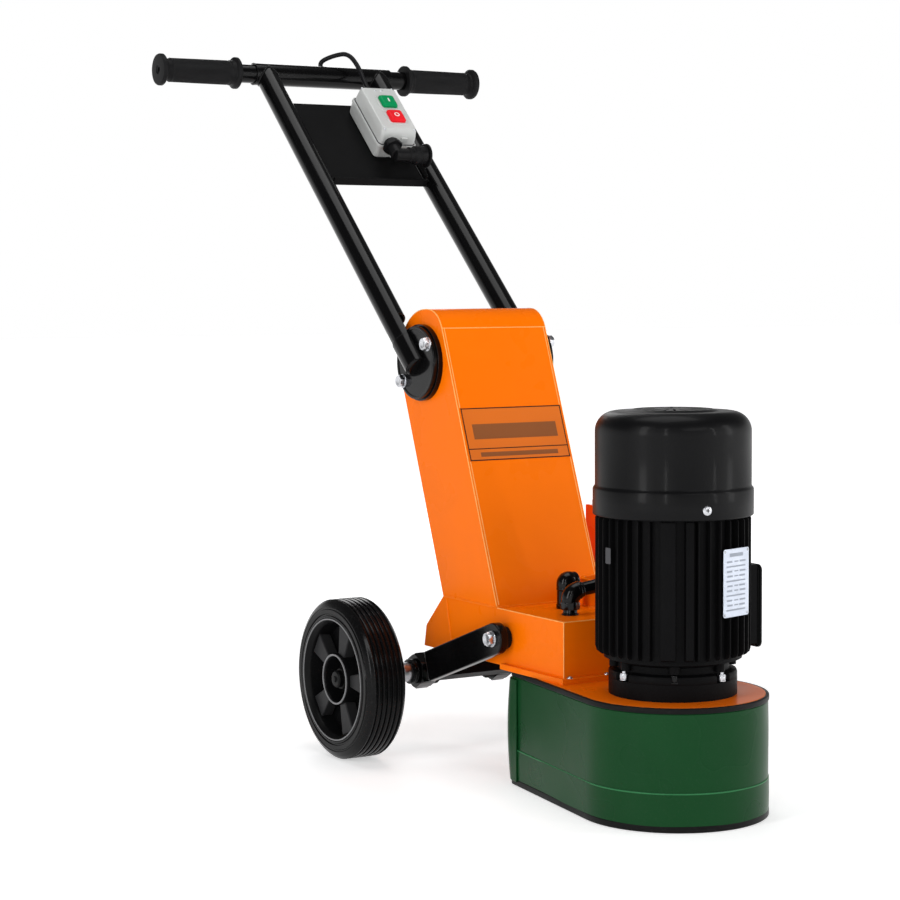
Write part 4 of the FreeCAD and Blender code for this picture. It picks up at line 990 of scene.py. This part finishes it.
armSetup = {"half": 23.5, "length": 206, "inner": 105, "outer": 119}


def makeArms():
    a = armSetup
    turns = [math.radians(90 + step * 12) for step in range(16)]
    outline = [(a["half"] * math.cos(turn), a["half"] * math.sin(turn)) for turn in turns]
    outline += [(a["length"], -a["half"]), (a["length"], a["half"])]
    toSide = Matrix(((0, 0, 1), (1, 0, 0), (0, 1, 0))).to_4x4()
    for side, label in ((-1, "left"), (1, "right")):
        low, high = sorted((side * a["inner"], side * a["outer"]))
        arm = slab("wheelArm" + label.title(), outline, low, high, onArm @ toSide, "blackGloss", "wheel_frame", 2.4)
        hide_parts("wheel_arm_" + label)
        centre = jointPlace["wheel_frame_swing"]
        place = facing((side * (a["outer"] + 0.3) * mm, centre.y, centre.z), (side, 0, 0))
        bolt = hexBolt("armBolt" + label.title(), place, 19, 8.6, "zincPlate", "chassis", 12, 2.2)
        stub = rounded([(0.01, -34), (9.9, -34), (9.9, 1), (0.01, 1)], 0.4, 2)
        spun("armPin" + label.title(), stub, place, "turnedSteel", "chassis", 48)
        spacer = rounded([(10.2, -24.2), (17, -24.2), (17, -15), (10.2, -15)], 0.8, 2)
        spun("armSpacer" + label.title(), spacer, place, "blackPlastic", "chassis", 48)
        if side < 0:
            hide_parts("arm_pivot_bolts")
        edge = [(side * a["inner"], a["length"] - 0.5, z) for z in (-20, 20)]
        weldBead("armWeld" + label.title(), edge, 2.6, "blackGloss", "wheel_frame", onArm)


makeArms()
print("wheel frame made")


# column label, screws and weld seams

labelSetup = {"low": 228, "high": 312, "half": 90.5, "frame": 1.6, "strip": 246}


edgeSetup = {"width": 0.9, "half": 95, "inset": 0.55, "bend": 442.1, "boxTop": 258.4, "boxFront": -332.5,
             "columnFoot": -154.3, "frontRound": (44.1, 656, 45), "rearRound": (53.3, 621, 80)}


def makeLabel():
    s = labelSetup
    film = onColumn @ Matrix.Rotation(math.pi / 2, 4, "X")

    def patch(name, left, right, low, high, depth, finish):
        outline = [(left, low), (right, low), (right, high), (left, high)]
        return slab(name, outline, depth - 0.3, depth, film, finish, "chassis", 0.05)
    sheet = patch("labelFilm", -s["half"], s["half"], s["low"], s["high"], 0.5, "labelFilm")
    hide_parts("column_label")
    w = s["frame"]
    patch("labelEdgeLow", -s["half"], s["half"], s["low"], s["low"] + w, 0.7, "labelDark")
    patch("labelEdgeHigh", -s["half"], s["half"], s["high"] - w, s["high"], 0.7, "labelDark")
    patch("labelEdgeLeft", -s["half"], -s["half"] + w, s["low"], s["high"], 0.72, "labelDark")
    patch("labelEdgeRight", s["half"] - w, s["half"], s["low"], s["high"], 0.72, "labelDark")
    patch("labelStrip", -s["half"] + w, s["half"] - w, s["strip"], s["strip"] + 1.4, 0.7, "labelDark")
    patch("labelBand", -76, 76, 262, 286, 0.64, "labelBar")
    patch("labelFoot", -70, 70, 234, 241, 0.64, "labelBar")


def makeSeams():
    # weld runs where the column meets the box and where the box's tail is joined
    foot = [(-95, 0, 0.4), (95, 0, 0.4)]
    base = Matrix.Translation(columnFoot)
    weldBead("columnFrontWeld", foot, 2.0, "orangePaint", "chassis", base)
    rear = [(95, 0, 0.6), (95, 153, 0.6)]
    weldBead("columnRightWeld", rear, 1.5, "orangePaint", "chassis", base)
    weldBead("columnLeftWeld", [(-x, y, z) for x, y, z in rear], 1.5, "orangePaint", "chassis", base)
    tail = [(-95.2, -8, 256), (-95.2, -14, 226), (-95.2, -24, 186)]
    weldBead("tailWeldLeft", tail, 1.3, "orangePaint", "chassis")
    weldBead("tailWeldRight", [(-x, y, z) for x, y, z in tail], 1.3, "orangePaint", "chassis")


def makeEdges():
    # folded sheet edges, a little rounder than the faces beside them, drawn as thin beads in a lighter orange that is
    # a painted highlight
    s = edgeSetup

    def edge(name, points, place):
        weldBead(name, [tuple(point) for point in points], s["width"], "orangeHighlightBead", "chassis", place)
    flat = Matrix.Identity(4)
    for side, label in ((-1, "Left"), (1, "Right")):
        x = side * (s["half"] - s["inset"])
        edge("columnEdge" + label, [(x, s["inset"], 2), (x, s["inset"], s["bend"])], onColumn)
        arc = []
        for (y, z, radius), first, last in ((s["frontRound"], 159.3, 90), (s["rearRound"], 90, -20.7)):
            for step in range(13):
                turn = math.radians(first + (last - first) * step / 12)
                reach = radius - s["inset"]
                arc.append((x, y + reach * math.cos(turn), z + reach * math.sin(turn)))
        edge("columnArc" + label, arc, flat)
        top = s["boxTop"] - s["inset"]
        edge("boxSideEdge" + label, [(x, s["boxFront"] + 1, top), (x, s["columnFoot"], top)], flat)
        edge("boxCorner" + label, [(x, s["boxFront"] + s["inset"], 176), (x, s["boxFront"] + s["inset"], top)], flat)
    x = s["half"] - s["inset"]
    front = [(-x, s["boxFront"] + s["inset"], s["boxTop"] - s["inset"]),
             (x, s["boxFront"] + s["inset"], s["boxTop"] - s["inset"])]
    edge("boxFrontEdge", front, flat)
    # painted highlight line across the column where the top sheet starts to bend
    edge("columnBendLine", [(-x, 0.3, s["bend"]), (x, 0.3, s["bend"])], onColumn)
    # painted highlight lines 4.2 mm in from each front edge of the column
    for side, label in ((-1, "Left"), (1, "Right")):
        lip = side * (s["half"] - 4.2)
        edge("columnLip" + label, [(lip, 0.3, 4), (lip, 0.3, labelSetup["low"] - 1)], onColumn)
        edge("columnLipTop" + label, [(lip, 0.3, labelSetup["high"] + 1), (lip, 0.3, s["bend"])], onColumn)


def makeCoverScrews():
    toBack = onColumn @ Matrix.Rotation(-math.pi / 2, 4, "X")
    face = 156 * 0.935 + 3.3
    for index, (x, z) in enumerate((x, z) for x in (-73, 73) for z in (86, 190, 294)):
        place = toBack @ Matrix.Translation((x * mm, -z * mm, face * mm))
        panScrew(f"coverScrew{index}", place, 4.8, 2.9, "zincPlate", "chassis")


def makeFlangeScrews():
    low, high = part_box("flange_screws")
    middle = (low.y + high.y) / 2
    for index, x in enumerate((-88, -24, 24, 88)):
        place = Matrix.Translation((x * mm, middle, low.z))
        screw = panScrew(f"flangeScrew{index}", place, 4.3, 3.2, "zincPlate", "chassis")
    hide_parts("flange_screws")


makeLabel()
makeSeams()
makeEdges()
makeCoverScrews()
makeFlangeScrews()
print("column made")


# glands, dust port and motor lead

glandSetup = {"x": -45, "y": -274.5, "base": 258.4, "turn": -14, "rise": 11}


def elbowLine(start, corner, end, steps=14):
    start, corner, end = Vector(start), Vector(corner), Vector(end)
    return [(start * (1 - t) ** 2 + corner * 2 * t * (1 - t) + end * t ** 2) * mm
            for t in (step / steps for step in range(steps + 1))]


def makeGlands():
    g = glandSetup
    foot = Matrix.Translation((g["x"] * mm, g["y"] * mm, g["base"] * mm))
    out = Vector((math.cos(math.radians(g["rise"])) * math.cos(math.radians(g["turn"])),
                  math.cos(math.radians(g["rise"])) * math.sin(math.radians(g["turn"])),
                  math.sin(math.radians(g["rise"]))))
    neck = rounded([(0.01, 0), (12.6, 0), (12.6, 2), (10.4, 3), (10.4, 8.6), (0.01, 8.6)], 0.5, 2)
    spun("glandNeck", neck, foot, "blackGloss", "chassis", 48)
    nut = [(0.01, 8), (13.4, 8), (14.6, 9.4), (14.6, 17.5), (13.4, 19), (0.01, 19)]
    gland = spun("glandNut", nut, foot, "blackGloss", "chassis", 72, hexShape(25.4))
    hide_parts("angle_gland")
    corner = Vector((g["x"], g["y"], g["base"] + 33))
    line = elbowLine(corner - Vector((0, 0, 15)), corner, corner + out * 15)
    count = len(line) - 1
    rope("glandElbow", line, "blackGloss", "chassis",
         lambda index: 12.9 + 0.9 * math.sin(math.pi * index / count), 28)
    tube = facing(corner * mm, out)
    sleeve = rounded([(0.01, 11), (13.3, 11), (13.3, 15), (11.6, 16), (11.6, 19), (10.2, 20), (10.2, 44),
                      (9.2, 46), (0.01, 46)], 0.8, 2)
    spun("glandSleeve", sleeve, tube, "blackGloss", "chassis", 56)

    blankFoot = Matrix.Translation((-11 * mm, -214 * mm, g["base"] * mm))
    stem = rounded([(0.01, 0), (15, 0), (15, 6), (14, 7), (14, 27), (14.8, 28), (14.8, 31), (0.01, 31)], 0.7, 2)
    spun("blankStem", stem, blankFoot, "blackGloss", "chassis", 64)
    top = Vector((-11, -214, g["base"] + 39))
    curve = elbowLine(top - Vector((0, 0, 9)), top + Vector((-3, 0, 6)), top + Vector((9, 0, 0)))
    bend = rope("blankElbow", curve,
                "blackGloss", "chassis", lambda index: 14.2, 32)
    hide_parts("blank_elbow")
    plug = rounded([(0.01, 7), (14.9, 7), (14.9, 15), (13.8, 16), (0.01, 16)], 0.8, 2)
    spun("blankPlug", plug, facing(top * mm, (1, 0, 0)), "blackGloss", "chassis", 64)


def makeDustPort():
    low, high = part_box("dust_port")
    centre = (low + high) / 2
    place = Matrix.Translation((centre.x, centre.y, low.z))
    tall = (high.z - low.z) * 1000
    tube = rounded([(27, 0), (30, 0), (30, tall - 8), (33.8, tall - 7.4), (33.8, tall), (27, tall)], 1.2, 3)
    port = spun("dustPort", tube, place, "orangePaint", "chassis", 96)
    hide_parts("dust_port")
    ring = circlePoints(30.4, 0.3)
    weldBead("dustPortWeld", ring, 1.5, "orangePaint", "chassis", place, closed=True)


motorLead = [(-4.5, -284.5, 299.5), (38, -295, 312), (84, -310, 316), (107.6, -356, 288),
             (107.6, -421.5, 288)]
controlLead = [(52, -33, 607.8), (52, -33, 648), (53, -40, 690), (44, -43, 722), (28, -27, 735), (11, -8, 742),
               (9, 0, 736), (9, 0, 725)]


def softCable(name, points, radius, finish, body, place, stands):
    # a smooth round lead led through the route's points
    curve = bpy.data.curves.new(name, "CURVE")
    curve.dimensions = "3D"
    curve.bevel_depth = radius * mm
    curve.bevel_resolution = 6
    curve.resolution_u = 16
    spline = curve.splines.new("NURBS")
    spline.points.add(len(points) - 1)
    for spot, point in zip(spline.points, points):
        spot.co = (*(place @ (Vector(point) * mm)), 1)
    spline.order_u = 3
    spline.use_endpoint_u = True
    curve.materials.append(finishes[finish])
    cable = bpy.data.objects.new(name, curve)
    scene.collection.objects.link(cable)
    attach(cable, body)
    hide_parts(stands)
    return cable


def makeLeads():
    flat = Matrix.Identity(4)
    softCable("motorLead", motorLead, 5.5, "cableRubber", "chassis", flat, "motor_cable")
    softCable("controlLead", controlLead, 4.0, "cableRubber", "handle", onHandle, "control_cable")
    entry = facing((0.1076, -0.4208, 0.288), (0, 1, 0))
    grip = rounded([(5.7, -3), (8.4, -3), (8.4, 3), (7, 4), (6.6, 10), (5.7, 11)], 0.6, 2)
    spun("motorLeadGrip", grip, entry, "blackPlastic", "chassis", 40)
    top = onHandle @ Matrix.Translation((0.052, -0.033, 0.6075))
    boot = rounded([(4.1, -2), (7.4, -2), (7.4, 3), (6.4, 4), (5.4, 16), (4.1, 17)], 0.5, 2)
    spun("controlLeadBoot", boot, top, "boxPlastic", "handle", 40)
    exit = onHandle @ Matrix.Translation((0.009, 0, 0.7245))
    ring = rounded([(4.1, -1.5), (7.4, -1.5), (6.6, 2.6), (4.1, 3.2)], 0.6, 2)
    spun("controlLeadGrommet", ring, exit, "trimRubber", "handle", 40)


makeGlands()
makeDustPort()
makeLeads()
print("glands and leads made")


# handle: grips, welds, pivot bolts

handleSetup = {"reach": 706, "legX": 109, "tube": 19, "pivotHalf": 95, "discThick": 8, "plateThick": 6,
               "slotRadius": 48, "boltBearing": -38}
gripProfile = [(16.1, 164), (26, 164), (27, 165), (27, 169.4), (26, 170.6), (22.4, 172), (21.2, 175), (21.4, 179),
               (20.4, 180), (20.4, 183), (20.8, 184), (20.6, 230), (20.2, 286), (20.4, 290), (18.6, 293), (18.2, 297),
               (20, 300), (25.4, 302), (26.8, 303.6), (26.8, 308.4), (25.6, 310.6), (22, 311), (8, 311), (6.5, 309.5),
               (4.2, 309), (4, 306), (16.1, 306)]


def gripShape(bearing, radius, height):
    # fine lengthwise ribs on the body, stopping short of both ends
    if radius < 20 or radius > 21 or height < 184 or height > 289:
        return radius
    return radius - 0.45 * (0.5 - 0.5 * math.cos(bearing * 64))


def makeGrips():
    for side, label in ((-1, "left"), (1, "right")):
        bar = onHandle @ Matrix.Translation((0, 0, handleSetup["reach"] * mm)) @ facing((0, 0, 0), (side, 0, 0))
        grip = spun("grip" + label.title(), gripProfile, bar, "gripRubber", "handle", 384, gripShape)
        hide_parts("grip_" + label)


def makeHandleWelds():
    h = handleSetup
    for side, label in ((-1, "Left"), (1, "Right")):
        saddle = []
        for step in range(40):
            turn = 2 * math.pi * step / 40
            x = side * h["legX"] + (h["tube"] + 0.4) * math.cos(turn)
            y = (h["tube"] + 0.4) * math.sin(turn)
            saddle.append((x, y, h["reach"] - math.sqrt(max(19.2 ** 2 - min(y * y, 360), 4))))
        weldBead("legWeld" + label, saddle, 1.8, "blackGloss", "handle", onHandle, closed=True)
        plateEdge = [(side * 90.2, -1.8, 424), (side * 90.2, -1.8, 470)]
        weldBead("panelWeldLow" + label, plateEdge, 1.8, "blackGloss", "handle", onHandle)
        plateTop = [(side * 90.2, -1.8, 585), (side * 90.2, -1.8, 624)]
        weldBead("panelWeldHigh" + label, plateTop, 1.8, "blackGloss", "handle", onHandle)
        upTheLeg = onHandle.to_3x3() @ Vector((0, 0, 1))
        sleeveEnd = facing(onHandle @ Vector((side * h["legX"] * mm, 0, 0.046)), upTheLeg)
        lip = rounded([(19.0, -1.4), (20.7, -1.4), (20.3, 1.2), (19.0, 1.6)], 0.5, 2)
        spun("sleeveLip" + label, lip, sleeveEnd, "blackGloss", "handle", 64)
        cap = [(0.01, -13.2), (12, -13), (17, -11.8), (19.4, -10), (20.2, -8.4), (20.2, -6), (0.01, -6)]
        spun("legCap" + label, cap, onHandle @ Matrix.Translation((side * h["legX"] * mm, 0, 0)), "blackGloss",
             "handle", 64)


def makePivotBolts():
    h = handleSetup
    turn = math.radians(h["boltBearing"] + math.degrees(handleLean))
    face = h["pivotHalf"] + h["discThick"] + 0.3 + h["plateThick"]
    for side, label in ((-1, "Left"), (1, "Right")):
        for index, sign in enumerate((1, -1)):
            y = sign * h["slotRadius"] * math.cos(turn)
            z = sign * h["slotRadius"] * math.sin(turn)
            place = onHandle @ facing(Vector((side * face, y, z)) * mm, (side, 0, 0))
            bolt = hexBolt(f"pivotBolt{label}{index}", place, 18, 8, "zincPlate", "handle", 11, 2)
            shank = [(0.01, -14), (4.9, -14), (4.9, 0.4), (0.01, 0.4)]
            spun(f"pivotShank{label}{index}", shank, place, "zincPlate", "handle", 32)
        hub = onHandle @ facing(Vector((side * (face - 6), 0, 0)) * mm, (side, 0, 0))
        ring = rounded([(52, 5.6), (56.6, 5.6), (56.6, 7.2), (52, 7.2)], 0.7, 2)
        spun("pivotPlateRim" + label, ring, hub, "blackGloss", "handle", 96)
    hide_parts("handle_bolts")


makeGrips()
makeHandleWelds()
makePivotBolts()
print("handle made")


# switch box and its buttons

boxSetup = {"x": 51, "z": 551, "pitch": 39}


def shellBetween(name, sections, place, finish, body, bevel, corner=7):
    # stacked rounded rectangles (depth, width, height, shift along the box) joined into one closed shell
    verts, faces = [], []
    count = 0
    for depth, wide, tall, shift in sections:
        ring = roundSquare(wide, tall, min(corner, wide / 3))
        count = len(ring)
        verts += [(x * mm, (y + shift) * mm, depth * mm) for x, y in ring]
    for level in range(len(sections) - 1):
        for index in range(count):
            after = (index + 1) % count
            faces.append((level * count + index, level * count + after, (level + 1) * count + after,
                          (level + 1) * count + index))
    faces.append(tuple(range(count))[::-1])
    faces.append(tuple((len(sections) - 1) * count + index for index in range(count)))
    return roundOff(addPiece(name, verts, faces, finish, body, place), bevel, 3, 28)


def makeSwitchBox():
    s = boxSetup
    # this frame's Z points out of the panel's face, Y up the handle
    face = onHandle @ Matrix.Translation((s["x"] * mm, 0, s["z"] * mm)) @ Matrix.Rotation(math.pi / 2, 4, "X")
    base = shellBetween("switchBase", [(1.6, 68, 120, 0), (4, 71, 123, 0), (24, 74, 127, 0)], face, "boxPlastic",
                        "handle", 1.4)
    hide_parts("switch_base")
    shellBetween("switchRim", [(23.6, 75.6, 128.6, 0), (27, 76.4, 129.4, 0), (30.6, 75.4, 128.4, 0)], face,
                 "boxPlastic", "handle", 0.9, 8)
    lid = shellBetween("switchLid", [(30.4, 70, 122, 0), (44, 69, 118.5, 1.2), (52, 68, 114.5, 2.8),
                                     (57.5, 64, 107, 4.2)], face, "boxPlastic", "handle", 1.8)
    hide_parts("switch_lid")
    shellBetween("switchSeam", [(30.2, 72.4, 125, 0), (31.3, 72.4, 125, 0)], face, "tagGrey", "handle", 0.2, 8)
    for offset, label, finish in ((0.5, "start", "greenPlastic"), (-0.5, "stop", "redPlastic")):
        spot = face @ Matrix.Translation((3 * mm, (offset * s["pitch"] - 2) * mm, 0))
        shellBetween(label + "Bezel", [(56.4, 36.5, 37, 0), (58.6, 34.8, 35.4, 0)], spot, "boxPlastic",
                     "handle", 0.6, 4)
        button = shellBetween(label + "Button", [(56, 29, 28.6, 0), (62.6, 28.4, 28, 0), (65, 23.4, 22.8, 0.6)],
                              spot, finish, label + "_button", 0.8, 3.6)
        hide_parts(label + "_button")
        if label == "start":
            slab("startMark", roundSquare(2.2, 9, 0.6), 64.8, 65.2,
                 spot, "whiteMark", "start_button", 0.05)
        else:
            ring = rounded([(3.2, 64.7), (4.8, 64.7), (4.8, 65.2), (3.2, 65.2)], 0.1, 2)
            spun("stopMark", ring, spot, "whiteMark", "stop_button", 48)
    corners = ((-29, 57.5, 55.6), (29, 57.5, 55.6), (-29, -50.5, 55.2), (29, -50.5, 55.2))
    for index, (x, y, depth) in enumerate(corners):
        panScrew(f"lidScrew{index}", face @ Matrix.Translation((x * mm, y * mm, depth * mm)), 2.7, 1.5, "zincPlate",
                 "handle")
    for index, (x, y, depth) in enumerate(((-8, 50, 57.3), (5, 51, 57.3))):
        panScrew(f"lidPip{index}", face @ Matrix.Translation((x * mm, y * mm, depth * mm)), 2.4, 1.0, "zincPlate",
                 "handle")
    latch = face @ Matrix.Translation((10 * mm, -58.6 * mm, 36 * mm))
    slab("lidLatch", roundSquare(13, 7, 2), 0, 9, latch, "boxPlastic", "handle", 0.8)


# power inlet under the switch box

inletSetup = {"y": -42, "z": 450, "radius": 16, "start": 10, "end": 84}


def makeInlet():
    s = inletSetup
    centre = Vector((30, s["y"], s["z"] - 2))
    up = onHandle @ Matrix.Translation(centre * mm)
    stem = rounded([(0.01, 0), (11, 0), (11, 18), (14.5, 19), (14.5, 27), (12.5, 28), (12.5, 31.6), (0.01, 31.6)],
                   0.9, 3)
    spun("inletStem", stem, up @ Matrix.Translation((0, 0, 2 * mm)), "blackPlastic", "handle", 56)
    nut = [(0.01, 19.4), (15.6, 19.4), (17.2, 21), (17.2, 26), (15.6, 27.4), (0.01, 27.4)]
    spun("inletNut", nut, up, "blackPlastic", "handle", 72, hexShape(30))
    across = onHandle @ facing(Vector((0, s["y"], s["z"])) * mm, (1, 0, 0))
    barrel = rounded([(0.01, 26), (9.6, 26), (11, 28), (11, 50), (13.4, 51), (13.4, 55), (12.4, 56), (12.4, 60),
                      (15.9, 62), (15.9, 70), (15, 71), (15, 73), (16, 74), (16, 84), (13, 84), (13, 66), (0.01, 66)],
                     0.8, 3)

    def knurl(bearing, radius, height):
        if radius < 15.5 or height < 62 or height > 70:
            return radius
        return radius - 0.5 * (0.5 - 0.5 * math.cos(bearing * 28))
    inlet = spun("inletBarrel", barrel, across, "blackPlastic", "handle", 224, knurl)
    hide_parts("inlet_body")
    for index, (y, z) in enumerate(((6, 0), (-3.5, 5.5), (-3.5, -5.5))):
        pin = [(0.01, 66), (2.1, 66), (2.1, 78), (1.4, 79.4), (0.01, 79.6)]
        place = onHandle @ facing(Vector((0, s["y"] + y, s["z"] + z)) * mm, (1, 0, 0))
        spun(f"inletPin{index}", pin, place, "turnedSteel", "handle", 24)
    cover = rounded([(0.01, 84.6), (19.4, 84.6), (20, 85.4), (20, 87.4), (18.6, 88.4), (14, 88.4), (13, 87.6),
                     (0.01, 87.6)], 0.5, 3)
    flap = spun("inletFlap", cover, across, "blackPlastic", "inlet_flap", 72)
    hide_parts("inlet_flap")
    hinge = onHandle @ facing(Vector((s["end"] + 3, s["y"], s["z"] + s["radius"] + 5)) * mm, (0, 1, 0))
    knuckle = rounded([(1.3, -6), (3, -6), (3, 6), (1.3, 6)], 0.4, 2)
    spun("flapKnuckle", knuckle, hinge, "blackPlastic", "inlet_flap", 32)
    pin = rounded([(0.01, -7.4), (1.2, -7.4), (1.2, 7.4), (0.01, 7.4)], 0.2, 2)
    spun("flapPin", pin, hinge, "zincPlate", "inlet_flap", 24)


makeSwitchBox()
makeInlet()
print("switch box and inlet made")


print("machine done")
